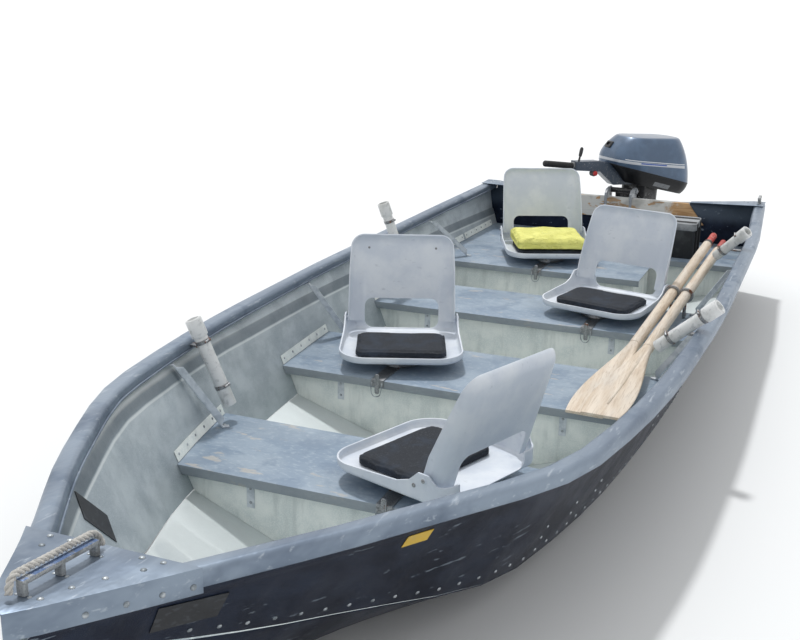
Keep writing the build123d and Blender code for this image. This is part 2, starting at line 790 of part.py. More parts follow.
# Battery box on the stern deck
with BuildPart() as battery_box:
    with BuildSketch(Plane.XY.offset(BATTERY.Z)):
        with Locations((BATTERY.X, BATTERY.Y)):
            RectangleRounded(BATTERY_LENGTH, BATTERY_WIDTH, BATTERY_CORNER)
    extrude(amount=BATTERY_HEIGHT)
    with BuildSketch(Plane.XY.offset(BATTERY.Z + BATTERY_HEIGHT)):
        with Locations((BATTERY.X, BATTERY.Y)):
            lid_corner = BATTERY_CORNER + LID_OVERHANG / 2
            RectangleRounded(BATTERY_LENGTH + LID_OVERHANG, BATTERY_WIDTH + LID_OVERHANG, lid_corner)
    extrude(amount=LID_HEIGHT)

# Stern cleat on the port corner plate
with BuildPart() as stern_cleat:
    with BuildSketch(Plane.XY.offset(CLEAT.Z)):
        with Locations((CLEAT.X, CLEAT.Y)):
            RectangleRounded(CLEAT_FOOT_LENGTH, CLEAT_FOOT_WIDTH, CLEAT_FOOT_WIDTH / 3)
    extrude(amount=CLEAT_THROAT)
    with BuildSketch(Plane.XY.offset(CLEAT.Z + CLEAT_THROAT)):
        with Locations((CLEAT.X, CLEAT.Y)):
            RectangleRounded(CLEAT_LENGTH, CLEAT_WIDTH, CLEAT_WIDTH * 0.42)
    extrude(amount=CLEAT_HORN)


def oar_planes(o):
    """Plane at the grip end with Z along the oar and X up, and the oar's length."""
    grip = Vector(STERN_X + o.grip_x, o.grip_y, o.grip_z)
    tip = Vector(STERN_X + o.tip_x, o.tip_y, o.tip_z)
    along = tip - grip
    across = along.cross(Vector(0, 0, 1))
    return Plane(origin=grip, x_dir=across.cross(along), z_dir=along), along.length


# Oars with a round grip and shaft and a flat blade
with BuildPart() as oars:
    for o in OARS:
        plane, length = oar_planes(o)
        with BuildSketch(plane):
            Circle(OAR_GRIP)
        extrude(amount=OAR_GRIP_LENGTH)
        with BuildSketch(plane.offset(OAR_GRIP_LENGTH)):
            Circle(OAR_SHAFT)
        extrude(amount=length - BLADE_LENGTH - OAR_GRIP_LENGTH)
        for s in BLADE_SECTIONS:
            with BuildSketch(plane.offset(length - BLADE_LENGTH + s.reach)):
                RectangleRounded(s.thickness, s.width, s.thickness * BLADE_EDGE)
        loft()

# Captive oarlock rings whose pins stand on a bench
with BuildPart() as oarlocks:
    for o in OARS:
        plane, length = oar_planes(o)
        share = (OARLOCK_X - o.grip_x) / (o.tip_x - o.grip_x)
        with BuildSketch(plane.offset(length * share - OARLOCK_RING)):
            Circle(OAR_SHAFT + SEAM + 2 * OARLOCK_RING)
        extrude(amount=2 * OARLOCK_RING)
        pin_y = o.grip_y + (o.tip_y - o.grip_y) * share
        pin_z = o.grip_z + (o.tip_z - o.grip_z) * share
        with BuildSketch(Plane.XY.offset(BENCHES[2].height + SEAM)):
            with Locations((STERN_X + OARLOCK_X, pin_y)):
                Circle(OARLOCK_PIN)
        extrude(amount=pin_z - BENCHES[2].height - SEAM)
        with BuildSketch(plane):
            Circle(OAR_SHAFT + SEAM)
        extrude(amount=length, mode=Mode.SUBTRACT)

def rope_radii(points):
    """Bend radii: 0.45 of the shorter run over the tangent of half the turn."""
    radii = []
    for before, here, after in zip(points, points[1:], points[2:]):
        a = Vector(*here) - Vector(*before)
        b = Vector(*after) - Vector(*here)
        radii.append(0.45 * min(a.length, b.length) / tan(radians(a.get_angle(b)) / 2))
    return radii


# Rope along the bow handle, from the ring at its front to the tail end
rope_points = [(BOW_X - p.aft, p.y, deck_top(BOW_X - p.aft) + p.height) for p in ROPE]
with BuildPart() as bow_rope:
    with BuildLine() as rope_line:
        FilletPolyline(*rope_points, radius=rope_radii(rope_points))
    with BuildSketch(Plane(origin=rope_line.line @ 0, z_dir=rope_line.line % 0)):
        Circle(ROPE_RADIUS)
    sweep()
rope_length = sum(edge.length for edge in rope_line.edges())
print("rope radii", [round(r, 1) for r in rope_radii(rope_points)])
print("rope volume over section times length", round(bow_rope.part.volume / (pi * ROPE_RADIUS**2 * rope_length), 4))


# The pan is a shallow moulded tray with a low rim that rises to the hinge cheeks
taper = (PAN_FRONT_WIDTH - PAN_REAR_WIDTH) / (PAN_FRONT - PAN_REAR)
cheek = (PAN_REAR_WIDTH + taper * (HINGE_X - PAN_REAR) - PAN_WALL) / 2
with BuildPart() as pan_shape:
    with BuildSketch(Plane.XY.offset(PAN_BASE)) as pan_plan:
        Polygon(
            (PAN_FRONT, PAN_FRONT_WIDTH / 2),
            (PAN_REAR, PAN_REAR_WIDTH / 2),
            (PAN_REAR, -PAN_REAR_WIDTH / 2),
            (PAN_FRONT, -PAN_FRONT_WIDTH / 2),
            align=None,
        )
        fillet(pan_plan.vertices().group_by(Axis.X)[-1], PAN_FRONT_CORNER)
        fillet(pan_plan.vertices().group_by(Axis.X)[0], PAN_REAR_CORNER)
    extrude(amount=PAN_BLOCK)
    fillet(pan_shape.edges().group_by(Axis.Z)[0], PAN_ROUND)
    offset(amount=-PAN_WALL, openings=pan_shape.faces().sort_by(Axis.Z)[-1])
    with BuildSketch(Plane.XZ):
        Polygon(
            *RIM_LINE,
            (PAN_REAR - PAN_WALL, RIM_LINE[-1][1]),
            (PAN_REAR - PAN_WALL, PAN_BASE + 2 * PAN_BLOCK),
            (PAN_FRONT + PAN_WALL, PAN_BASE + 2 * PAN_BLOCK),
            (PAN_FRONT + PAN_WALL, RIM_LINE[0][1]),
            align=None,
        )
    extrude(amount=PAN_FRONT_WIDTH, both=True, mode=Mode.SUBTRACT)
    with BuildSketch(Plane.YZ.offset(PAN_REAR - PAN_WALL)):
        with Locations((0, SLOT_FLOOR + PAN_BLOCK / 2)):
            RectangleRounded(SLOT_WIDTH, PAN_BLOCK, SLOT_ROUND)
    extrude(amount=4 * PAN_WALL, mode=Mode.SUBTRACT)
    for side in (1, -1):
        with BuildSketch(Plane.XZ.offset(-side * cheek)):
            with Locations((HINGE_X, HINGE_Z)):
                Circle(HINGE_PIN)
        extrude(amount=side * (PAN_WALL / 2 + PIN_REACH))
        with BuildSketch(Plane.XZ.offset(-side * cheek)):
            with Locations((HINGE_X, HINGE_Z)):
                Circle(HINGE_HEAD)
        extrude(amount=-side * (PAN_WALL / 2 + HINGE_HEAD_THICKNESS))

with BuildPart() as pad_shape:
    with BuildSketch(Plane.XY.offset(PAN_BASE + PAN_WALL + SEAM)):
        with Locations((PAD_X, 0)):
            RectangleRounded(PAD_LENGTH, PAD_WIDTH, PAD_CORNER)
    extrude(amount=PAD_THICKNESS)
    fillet(pad_shape.edges().group_by(Axis.Z)[-1], PAD_ROUND)

# The back is a deeper tray with wings that reach down to the hinge pins
BACK_FORWARD = (cos(radians(BACK_RECLINE)), 0, sin(radians(BACK_RECLINE)))
BACK_PLANE = Plane(origin=(HINGE_X, 0, HINGE_Z), x_dir=(0, 1, 0), z_dir=BACK_FORWARD)
BACK_SIDE = Plane(origin=(HINGE_X, 0, HINGE_Z), x_dir=BACK_FORWARD, z_dir=(0, -1, 0))


def back_profile(wall):
    """Corners of the back from its foot round to the other foot, moved in by the wall."""
    foot = (BACK_FOOT_WIDTH / 2 - wall, -BACK_FOOT - wall)
    top = (BACK_TOP_WIDTH / 2 - wall, BACK_HEIGHT - wall)
    return [foot, top, (-top[0], top[1]), (-foot[0], foot[1])]


with BuildPart() as back_room:
    with BuildSketch(BACK_PLANE.offset(BACK_WALL - BACK_SETBACK)):
        with BuildLine():
            FilletPolyline(*back_profile(BACK_WALL), radius=BACK_CORNER - BACK_WALL)
            Line(back_profile(BACK_WALL)[-1], back_profile(BACK_WALL)[0])
        make_face()
    extrude(amount=BACK_SETBACK + WING_FOOT)
    rear = back_room.faces().sort_by(Axis(BACK_PLANE.origin, BACK_PLANE.z_dir))[0]
    upright = [e for e in rear.edges() if (e @ 0.5 - BACK_PLANE.origin).dot(BACK_PLANE.y_dir) > 1 - BACK_FOOT]
    fillet(upright, BACK_ROUND - BACK_WALL)

with BuildPart() as back_shape:
    with BuildSketch(BACK_PLANE.offset(-BACK_SETBACK)):
        with BuildLine():
            FilletPolyline(*back_profile(0), radius=BACK_CORNER)
            Line(back_profile(0)[-1], back_profile(0)[0])
        make_face()
    extrude(amount=BACK_SETBACK + WING_FOOT)
    rear = back_shape.faces().sort_by(Axis(BACK_PLANE.origin, BACK_PLANE.z_dir))[0]
    upright = [e for e in rear.edges() if (e @ 0.5 - BACK_PLANE.origin).dot(BACK_PLANE.y_dir) > 1 - BACK_FOOT]
    fillet(upright, BACK_ROUND)
    add(back_room.part, mode=Mode.SUBTRACT)
    with BuildSketch(BACK_SIDE):
        Polygon(
            (WING_FOOT, WING_FOOT_HEIGHT),
            (WING_TOP, BACK_HEIGHT),
            (WING_TOP, 2 * BACK_HEIGHT),
            (2 * BACK_SETBACK, 2 * BACK_HEIGHT),
            (2 * BACK_SETBACK, WING_FOOT_HEIGHT),
            align=None,
        )
    extrude(amount=BACK_FOOT_WIDTH, both=True, mode=Mode.SUBTRACT)
    with BuildSketch(BACK_PLANE.offset(-BACK_SETBACK)):
        RectangleRounded(SLOT_WIDTH, 2 * SLOT_HEIGHT, SLOT_ROUND)
    extrude(amount=BACK_ROUND, both=True, mode=Mode.SUBTRACT)
    with BuildSketch(BACK_SIDE):
        Circle(HINGE_PIN + PIN_FIT)
    extrude(amount=BACK_FOOT_WIDTH, both=True, mode=Mode.SUBTRACT)


def seat_plane(s):
    """Plane of a seat on its bench, with X the way it faces."""
    origin = (STERN_X + s.x, s.y, BENCHES[s.bench].height)
    return Plane(origin=origin, x_dir=(cos(radians(s.facing)), sin(radians(s.facing)), 0), z_dir=(0, 0, 1))


# Seat bases: a clamp strap hooked over the bench's front edge, a cam lever and a turntable
with BuildPart() as seat_bases:
    for s in SEATS:
        top = BENCHES[s.bench].height + SEAM
        front = STERN_X + BENCHES[s.bench].front + SEAM
        with BuildSketch(Plane.XZ.offset(-s.y - STRAP_WIDTH / 2)):
            Polygon(
                (front - STRAP_LENGTH, top),
                (front - STRAP_LENGTH, top + STRAP_THICKNESS),
                (front + STRAP_THICKNESS, top + STRAP_THICKNESS),
                (front + STRAP_THICKNESS, top - STRAP_HOOK),
                (front, top - STRAP_HOOK),
                (front, top),
                align=None,
            )
        extrude(amount=STRAP_WIDTH)
        with BuildSketch(Plane.YZ.offset(front + STRAP_THICKNESS)):
            with Locations((s.y, top - LEVER_LENGTH / 6)):
                RectangleRounded(LEVER_WIDTH, LEVER_LENGTH, LEVER_WIDTH / 3)
        extrude(amount=STRAP_THICKNESS)
        with BuildSketch(seat_plane(s).offset(SEAM + STRAP_THICKNESS)):
            Circle(TURNTABLE_RADIUS)
        extrude(amount=PAN_BASE - STRAP_THICKNESS - 2 * SEAM)

# Cushion on the seat nearest the stern
with BuildPart() as cushion_shape:
    with BuildSketch(Plane.XY.offset(PAN_BASE + PAN_WALL + PAD_THICKNESS + 2 * SEAM)):
        with Locations((CUSHION_X, 0)):
            RectangleRounded(CUSHION_LENGTH, CUSHION_WIDTH, CUSHION_CORNER)
    extrude(amount=CUSHION_THICKNESS)
    rims = cushion_shape.edges().group_by(Axis.Z)
    fillet(rims[0] + rims[-1], CUSHION_ROUND)

# Outboard motor. Its clamp bracket sits on the transom, the tilt tube crosses it, and the steering axis is upright.
PAD_FACE = OUTER_PAD / cos(radians(TRANSOM_RAKE)) + SEAM
STEER = Vector(STERN_X - STEER_SETBACK, 0, 0)
TILT = Vector(STERN_X - TILT_SETBACK, 0, TILT_Z)
AHEAD = Vector(cos(radians(STEER_ANGLE)), sin(radians(STEER_ANGLE)), 0)
ABEAM = Vector(-AHEAD.Y, AHEAD.X, 0)


def motor_level(z, ahead=0.0):
    """Level plane of the steered motor at a height, with X to the motor's front."""
    return Plane(origin=STEER + AHEAD * ahead + Vector(0, 0, z), x_dir=AHEAD, z_dir=(0, 0, 1))


def motor_side(abeam=0.0):
    """Upright fore-and-aft plane of the steered motor, with X to the motor's front and Y up."""
    return Plane(origin=STEER + ABEAM * abeam, x_dir=AHEAD, z_dir=-ABEAM)


def motor_cross(ahead=0.0):
    """Upright cross plane of the steered motor, with X to the motor's port side and Y up."""
    return Plane(origin=STEER + AHEAD * ahead, x_dir=ABEAM, z_dir=AHEAD)


# Two clamp plates with jaw screws and the tilt pin
board = STERN_X + transom_x(JAW_SCREW_Z) + (TRANSOM_PLATE + INNER_PAD) / cos(radians(TRANSOM_RAKE))
with BuildPart() as motor_clamp:
    for side in (1, -1):
        with BuildSketch(Plane.XZ.offset(-side * CLAMP_INSIDE)):
            Polygon(
                (STERN_X - CLAMP_EAR, CLAMP_EAR_Z),
                (STERN_X - CLAMP_BACK, CLAMP_TOP),
                (STERN_X + CLAMP_CREST, CLAMP_TOP),
                (STERN_X + CLAMP_FRONT, CLAMP_FRONT_Z),
                (STERN_X + CLAMP_FRONT, CLAMP_JAW_LOW),
                (STERN_X + CLAMP_JAW, CLAMP_JAW_LOW),
                (STERN_X + CLAMP_JAW, DIP_Z + SEAM),
                (STERN_X + transom_x(DIP_Z) - PAD_FACE, DIP_Z + SEAM),
                (STERN_X + transom_x(CLAMP_FOOT) - PAD_FACE, CLAMP_FOOT),
                (STERN_X + transom_x(CLAMP_FOOT) - PAD_FACE - CLAMP_FOOT_DEPTH, CLAMP_FOOT),
                (STERN_X - CLAMP_BACK, CLAMP_BACK_Z),
                align=None,
            )
        extrude(amount=-side * CLAMP_PLATE)
        jaw = (side * (CLAMP_INSIDE + CLAMP_PLATE / 2), JAW_SCREW_Z)
        with BuildSketch(Plane.YZ.offset(board + JAW_PAD_GAP)):
            with Locations(jaw):
                Circle(JAW_PAD)
        extrude(amount=JAW_PAD_THICKNESS)
        with BuildSketch(Plane.YZ.offset(board + JAW_PAD_GAP + JAW_PAD_THICKNESS / 2)):
            with Locations(jaw):
                Circle(JAW_SCREW)
        extrude(amount=STERN_X + CLAMP_FRONT + JAW_SCREW_REACH - board - JAW_PAD_GAP - JAW_PAD_THICKNESS / 2)
    with BuildSketch(Plane.XZ.offset(-CLAMP_INSIDE - CLAMP_PLATE)):
        with Locations((TILT.X, TILT_Z)):
            Circle(TILT_PIN)
    extrude(amount=2 * (CLAMP_INSIDE + CLAMP_PLATE))

# The swivel bracket hangs on the tilt pin and holds the steering pin
with BuildPart() as swivel_bracket:
    with BuildSketch(Plane.XZ.offset(-CLAMP_INSIDE + SEAM)):
        with Locations((TILT.X, TILT_Z)):
            Circle(TILT_TUBE)
    extrude(amount=2 * (CLAMP_INSIDE - SEAM))
    with BuildSketch(Plane.XZ.offset(-SWIVEL_WIDTH / 2)):
        Polygon(
            (TILT.X, TILT_Z),
            (STEER.X + SWIVEL_WEB, SWIVEL_HIGH - YOKE / 2),
            (STEER.X, SWIVEL_HIGH - YOKE / 2),
            (STEER.X, SWIVEL_LOW + YOKE),
            (STEER.X + SWIVEL_TUBE, SWIVEL_LOW + YOKE),
            (TILT.X - SWIVEL_WEB / 2, TILT_Z - SWIVEL_WEB_LOW),
            (TILT.X, TILT_Z - TILT_TUBE + 2),
            align=None,
        )
    extrude(amount=SWIVEL_WIDTH)
    with BuildSketch(Plane(origin=STEER + Vector(0, 0, SWIVEL_LOW))):
        Circle(SWIVEL_TUBE)
    extrude(amount=SWIVEL_HIGH - SWIVEL_LOW)
    with BuildSketch(Plane(origin=STEER)):
        Circle(SWIVEL_PIN + PIN_FIT)
    extrude(amount=SWIVEL_HIGH * 2, mode=Mode.SUBTRACT)
    with BuildSketch(Plane.XZ):
        with Locations((TILT.X, TILT_Z)):
            Circle(TILT_PIN + PIN_FIT)
    extrude(amount=CLAMP_INSIDE * 2, both=True, mode=Mode.SUBTRACT)


# Gearcase below the leg, with the propeller shaft
with BuildPart() as gearcase:
    with BuildSketch(motor_level(PLATE_Z, -PLATE_AFT)):
        RectangleRounded(PLATE_LENGTH, PLATE_WIDTH, PLATE_CORNER)
    extrude(amount=PLATE_THICKNESS)
    with BuildSketch(motor_level(PLATE_Z, -LEG_AFT)):
        RectangleRounded(LEG[0].length, LEG[0].width, LEG[0].width * STREAMLINE)
    extrude(amount=LEG[0].z - SEAM - PLATE_Z)
    with BuildSketch(motor_level(PROP_Z, -LEG_AFT)):
        RectangleRounded(STRUT_FOOT_LENGTH, STRUT_FOOT_WIDTH, STRUT_FOOT_WIDTH * STREAMLINE)
    with BuildSketch(motor_level(PLATE_Z, -LEG_AFT)):
        RectangleRounded(STRUT_TOP_LENGTH, STRUT_TOP_WIDTH, STRUT_TOP_WIDTH * STREAMLINE)
    loft()
    with BuildSketch(motor_side()):
        with BuildLine():
            Spline(
                (TORPEDO_NOSE, PROP_Z),
                (TORPEDO_NOSE - 60, PROP_Z + TORPEDO_RADIUS * 0.86),
                (TORPEDO_NOSE - 140, PROP_Z + TORPEDO_RADIUS),
                (TORPEDO_TAIL, PROP_Z + TORPEDO_RADIUS * 0.74),
                tangents=((-0.2, 1), (-1, -0.15)),
            )
            Polyline((TORPEDO_TAIL, PROP_Z + TORPEDO_RADIUS * 0.74), (TORPEDO_TAIL, PROP_Z), (TORPEDO_NOSE, PROP_Z))
        make_face()
    revolve(axis=Axis(STEER + Vector(0, 0, PROP_Z), AHEAD))
    with BuildSketch(motor_side(SKEG_THICKNESS / 2)):
        Polygon(*[(x, PROP_Z + z) for x, z in SKEG_LINE], align=None)
    extrude(amount=SKEG_THICKNESS)
    with BuildSketch(motor_cross(TORPEDO_TAIL)):
        with Locations((0, PROP_Z)):
            Circle(SHAFT_RADIUS)
    extrude(amount=-SHAFT_LENGTH)

# Propeller: a hub with three twisted blades
hub_start = TORPEDO_TAIL - HUB_GAP
root = STEER + AHEAD * (hub_start - HUB_LENGTH / 2) + Vector(0, 0, PROP_Z)
with BuildPart() as propeller:
    with BuildSketch(motor_cross(hub_start)):
        with Locations((0, PROP_Z)):
            Circle(HUB_RADIUS)
    extrude(amount=-HUB_LENGTH)
    for k in range(BLADES):
        turn = 360 / BLADES * k + 90
        radial = ABEAM * cos(radians(turn)) + Vector(0, 0, sin(radians(turn)))
        across = AHEAD.cross(radial)
        for s in PROP_SECTIONS:
            chord_dir = AHEAD * sin(radians(s.pitch)) + across * cos(radians(s.pitch))
            with BuildSketch(Plane(origin=root + radial * s.reach, x_dir=chord_dir, z_dir=radial)):
                RectangleRounded(s.chord, s.thickness, s.thickness * STREAMLINE)
        loft()
    with BuildSketch(motor_cross(hub_start + HUB_BORE)):
        with Locations((0, PROP_Z)):
            Circle(SHAFT_RADIUS + PIN_FIT)
    extrude(amount=-HUB_LENGTH - 2 * HUB_BORE, mode=Mode.SUBTRACT)


def motor_tilted(slope, ahead, z):
    """Plane of the steered motor that slopes down to the rear."""
    x_dir = AHEAD * cos(radians(slope)) + Vector(0, 0, sin(radians(slope)))
    origin = STEER + AHEAD * ahead + Vector(0, 0, z)
    return Plane(origin=origin, x_dir=x_dir, z_dir=x_dir.cross(ABEAM))


# The cowl is a thin shell over the engine block
with BuildPart() as cowl_room:
    for s in COWL_SECTIONS:
        with BuildSketch(motor_tilted(s.slope, s.ahead, s.z - COWL_WALL)):
            RectangleRounded(s.length - 2 * COWL_WALL, s.width - 2 * COWL_WALL, s.corner - COWL_WALL)
    loft()

with BuildPart() as cowl:
    for s in COWL_SECTIONS:
        with BuildSketch(motor_tilted(s.slope, s.ahead, s.z + SEAM)):
            RectangleRounded(s.length, s.width, s.corner)
    loft()
    fillet(cowl.faces().sort_by(Axis.Z)[-1].edges(), COWL_TOP_ROUND)
    add(cowl_room.part, mode=Mode.SUBTRACT)

with BuildPart() as powerhead:
    with BuildSketch(motor_tilted(SEAM_SLOPE, COWL_SECTIONS[0].ahead, COWL_SECTIONS[0].z)):
        Rectangle(BLOCK_LENGTH, BLOCK_WIDTH)
    extrude(amount=BLOCK_HEIGHT)

with BuildPart() as lower_pan:
    for s in PAN_SECTIONS:
        with BuildSketch(motor_tilted(s.slope, s.ahead, s.z)):
            RectangleRounded(s.length, s.width, s.corner)
    loft()

# The leg hangs from two yokes on the steering pin, behind the swivel tube
with BuildPart() as leg:
    with BuildSketch(Plane(origin=STEER + Vector(0, 0, SWIVEL_LOW - YOKE_GAP - YOKE))):
        Circle(SWIVEL_PIN)
    extrude(amount=SWIVEL_HIGH - SWIVEL_LOW + 2 * (YOKE + YOKE_GAP))
    for z in (SWIVEL_LOW - YOKE_GAP - YOKE, SWIVEL_HIGH + YOKE_GAP):
        with BuildSketch(motor_level(z, -LEG_AFT / 2)):
            Rectangle(LEG_AFT, YOKE_WIDTH)
        extrude(amount=YOKE)
        with BuildSketch(motor_level(z)):
            Circle(SWIVEL_TUBE)
        extrude(amount=YOKE)
    for s in LEG:
        with BuildSketch(motor_level(s.z, -LEG_AFT)):
            RectangleRounded(s.length, s.width, s.width * STREAMLINE)
    loft()
    add(lower_pan.part, mode=Mode.SUBTRACT)

# Tiller: arm from the steering yoke out under the pan, grip at its end, shift lever on top
with BuildPart() as tiller_arm:
    with BuildSketch(motor_side(ARM_WIDTH / 2)):
        Polygon(*ARM_LINE, align=None)
    extrude(amount=ARM_WIDTH)
    add(lower_pan.part, mode=Mode.SUBTRACT)

with BuildPart() as tiller_grip:
    start = STEER + AHEAD * (ARM_END - 2) + Vector(0, 0, GRIP_START_Z)
    end = STEER + AHEAD * GRIP_END + Vector(0, 0, GRIP_END_Z)
    with BuildSketch(Plane(origin=start, z_dir=end - start, x_dir=ABEAM)):
        Circle(GRIP_RADIUS)
    extrude(amount=(end - start).length)
    fillet(tiller_grip.edges().sort_by(Axis(start, end - start))[-1], GRIP_ROUND)

with BuildPart() as shift_lever:
    with BuildSketch(motor_side(ARM_WIDTH / 2)):
        Polygon(*LEVER_LINE, align=None)
    extrude(amount=LEVER_THICKNESS)

NODES = {
    "bottom_plate": bottom_plate.part,
    "side_port": side_port.part,
    "side_starboard": side_starboard.part,
    "transom": transom.part,
    "transom_pads": transom_pads.part,
    "keel_strip": keel_strip.part,
    "gunwale_port": gunwale_port.part,
    "gunwale_starboard": gunwale_starboard.part,
    "bow_deck": bow_deck.part,
    "corner_plates": corner_plates.part,
    "bow_handle": bow_handle.part,
    "bow_rope": bow_rope.part,
    "bench_tops": bench_tops.part,
    "bench_boxes": bench_boxes.part,
    "braces": braces.part,
    "rod_holders": rod_holders.part,
    "tube_clamps": tube_clamps.part,
    "stern_cleat": stern_cleat.part,
    "battery_box": battery_box.part,
    "oars": oars.part,
    "oarlocks": oarlocks.part,
    "seat_bases": seat_bases.part,
    "motor_clamp": motor_clamp.part,
    "swivel_bracket": swivel_bracket.part,
    "leg": leg.part,
    "gearcase": gearcase.part,
    "lower_pan": lower_pan.part,
    "powerhead": powerhead.part,
    "cowl": cowl.part,
    "tiller_arm": tiller_arm.part,
    "tiller_grip": tiller_grip.part,
    "shift_lever": shift_lever.part,
    "propeller": propeller.part,
}

# The seats are copies of one pan, pad and back
for number, s in enumerate(SEATS, start=1):
    place = seat_plane(s).location
    NODES[f"seat_pan_{number}"] = pan_shape.part.moved(place)
    NODES[f"seat_pad_{number}"] = pad_shape.part.moved(place)
    NODES[f"seat_back_{number}"] = back_shape.part.moved(place)
NODES["cushion"] = cushion_shape.part.moved(seat_plane(SEATS[-1]).location)

for name, part in NODES.items():
    part.label = name
    export_step(part, f"parts/{name}.step")
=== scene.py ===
import bpy
import json
from math import cos, pi, radians, sin
from mathutils import Matrix, Vector
from mathutils.bvhtree import BVHTree

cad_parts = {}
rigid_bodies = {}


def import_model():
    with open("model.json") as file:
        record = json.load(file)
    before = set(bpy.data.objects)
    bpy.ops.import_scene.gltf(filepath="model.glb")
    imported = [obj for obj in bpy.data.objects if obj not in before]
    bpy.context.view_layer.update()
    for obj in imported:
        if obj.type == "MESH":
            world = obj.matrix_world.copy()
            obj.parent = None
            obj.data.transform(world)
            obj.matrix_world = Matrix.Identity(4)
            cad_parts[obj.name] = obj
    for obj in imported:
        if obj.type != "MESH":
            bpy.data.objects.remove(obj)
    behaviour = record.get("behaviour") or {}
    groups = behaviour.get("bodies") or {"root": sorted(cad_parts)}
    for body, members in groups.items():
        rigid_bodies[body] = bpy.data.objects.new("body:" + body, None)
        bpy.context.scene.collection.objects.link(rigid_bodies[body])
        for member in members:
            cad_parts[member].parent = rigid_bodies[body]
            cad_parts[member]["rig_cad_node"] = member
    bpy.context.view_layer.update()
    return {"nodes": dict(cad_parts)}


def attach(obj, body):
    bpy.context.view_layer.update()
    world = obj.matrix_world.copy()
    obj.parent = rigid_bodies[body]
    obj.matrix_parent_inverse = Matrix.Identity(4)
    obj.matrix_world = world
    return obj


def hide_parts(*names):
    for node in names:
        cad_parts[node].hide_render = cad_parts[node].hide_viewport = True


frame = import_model()
scene = bpy.context.scene
scene.view_settings.view_transform = "Standard"
bpy.ops.object.select_all(action="DESELECT")

# Camera
# It stands over the port bow and looks aft along the boat.
EYE = (3.4998, 1.1064, 1.4834)
RIGHT = Vector((-0.378749, 0.925350, 0.016625))
UP = Vector((-0.262334, -0.124566, 0.956903))
BACK = Vector((0.887542, 0.358065, 0.289930))
bpy.ops.object.camera_add()
camera = bpy.context.object
camera.matrix_world = Matrix.Translation(EYE) @ Matrix((RIGHT, UP, BACK)).transposed().to_4x4()
camera.data.sensor_width = 36
camera.data.lens = 49.61
scene.camera = camera

# Hull plates
# The bottom and the two sides are aluminium sheet, riveted along the chines, with one step pressed along each side.
# The inside is pale and speckled with painted light and shade at the step and bottom; the outside is scratched and
# painted dark as shade and reflected water.
STERN = -2.375
HULL_LENGTH = 4.75


class Socket:
    """An output in a material's nodes. Arithmetic on it adds Math nodes, and node() adds any other kind."""

    def __init__(self, tree, output=None):
        self.tree = tree
        self.output = output

    def node(self, kind, settings={}, values={}, output=0):
        made = self.tree.nodes.new("ShaderNode" + kind)
        for name, value in settings.items():
            if name == "stops":
                ramp = made.color_ramp
                ramp.elements.remove(ramp.elements[1])
                for i, (place, colour) in enumerate(value):
                    stop = ramp.elements.new(place) if i else ramp.elements[0]
                    stop.position = place
                    stop.color = colour
            else:
                setattr(made, name, value)
        return self.fill(made, values, output)

    def fill(self, made, values, output=0):
        for name, value in values.items():
            if isinstance(value, Socket):
                self.tree.links.new(value.output, made.inputs[name])
            else:
                made.inputs[name].default_value = value
        return Socket(self.tree, made.outputs[output])

    def axis(self, number):
        return self.node("SeparateXYZ", {}, {0: self}, output=number)

    def maths(self, operation, *values):
        return self.node("Math", {"operation": operation}, dict(enumerate(values)))

    def __add__(self, other):
        return self.maths("ADD", self, other)

    def __sub__(self, other):
        return self.maths("SUBTRACT", self, other)

    def __rsub__(self, other):
        return self.maths("SUBTRACT", other, self)

    def __mul__(self, other):
        return self.maths("MULTIPLY", self, other)

    def __truediv__(self, other):
        return self.maths("DIVIDE", self, other)

    def __gt__(self, other):
        return self.maths("GREATER_THAN", self, other)

    def __lt__(self, other):
        return self.maths("LESS_THAN", self, other)

    __radd__ = __add__
    __rmul__ = __mul__


def tone(red, green, blue):
    """A colour given as the eye sees it, from 0 to 255."""
    linear = [(c / 255 / 12.92 if c < 11 else ((c / 255 + 0.055) / 1.055) ** 2.4) for c in (red, green, blue)]
    return (*linear, 1)


def new_finish(name, **constants):
    """A material with these constant shader sockets, and the socket that its pattern starts from."""
    material = bpy.data.materials.new(name)
    material.use_nodes = True
    shader = material.node_tree.nodes["Principled BSDF"]
    for socket, value in constants.items():
        shader.inputs[socket.replace("_", " ")].default_value = value
    return material, Socket(material.node_tree).node("TexCoord", output="Object")


def painted(material, place, **values):
    """Feeds the varying sockets of a material's shader, and a bump height where it has one."""
    shader = material.node_tree.nodes["Principled BSDF"]
    height = values.pop("height", None)
    if height is not None:
        depth = values.pop("depth", 0.001)
        values["Normal"] = place.node("Bump", {}, {"Height": height, "Distance": depth, "Strength": 1.0})
    place.fill(shader, {name.replace("_", " "): value for name, value in values.items()})
    return material


def noise(place, scale, detail=3.0, stretch=(1, 1, 1), shift=(0, 0, 0)):
    """Cloudy values from about 0.3 to 0.7, with the pattern drawn out by the stretch."""
    if stretch != (1, 1, 1) or shift != (0, 0, 0):
        place = place.node("Mapping", {}, {"Vector": place, "Scale": [1 / s for s in stretch], "Location": shift})
    return place.node("TexNoise", {}, {"Vector": place, "Scale": scale, "Detail": detail, "Roughness": 0.6})


def between(value, low, high, start=0.0, end=1.0):
    """A mask that rises smoothly from start to end while the value goes from low to high."""
    return value.node("MapRange", {"interpolation_type": "SMOOTHSTEP"}, {0: value, 1: low, 2: high, 3: start, 4: end})


def patches(place, scale, detail, low, high, stretch=(1, 1, 1), shift=(0, 0, 0)):
    """A mask of soft patches, which cover more of a surface the lower the two bounds are."""
    return between(noise(place, scale, detail, stretch, shift), low, high)


def layered(colour, *layers):
    """A colour under layers of a mask and a colour. A colour is a layered one, or red, green and blue up to 255."""
    for mask, top in layers:
        base, top = (c if isinstance(c, Socket) else tone(*c) for c in (colour, top))
        colour = mask.node("Mix", {"data_type": "RGBA"}, {0: mask, 6: base, 7: top}, output=2)
    return colour


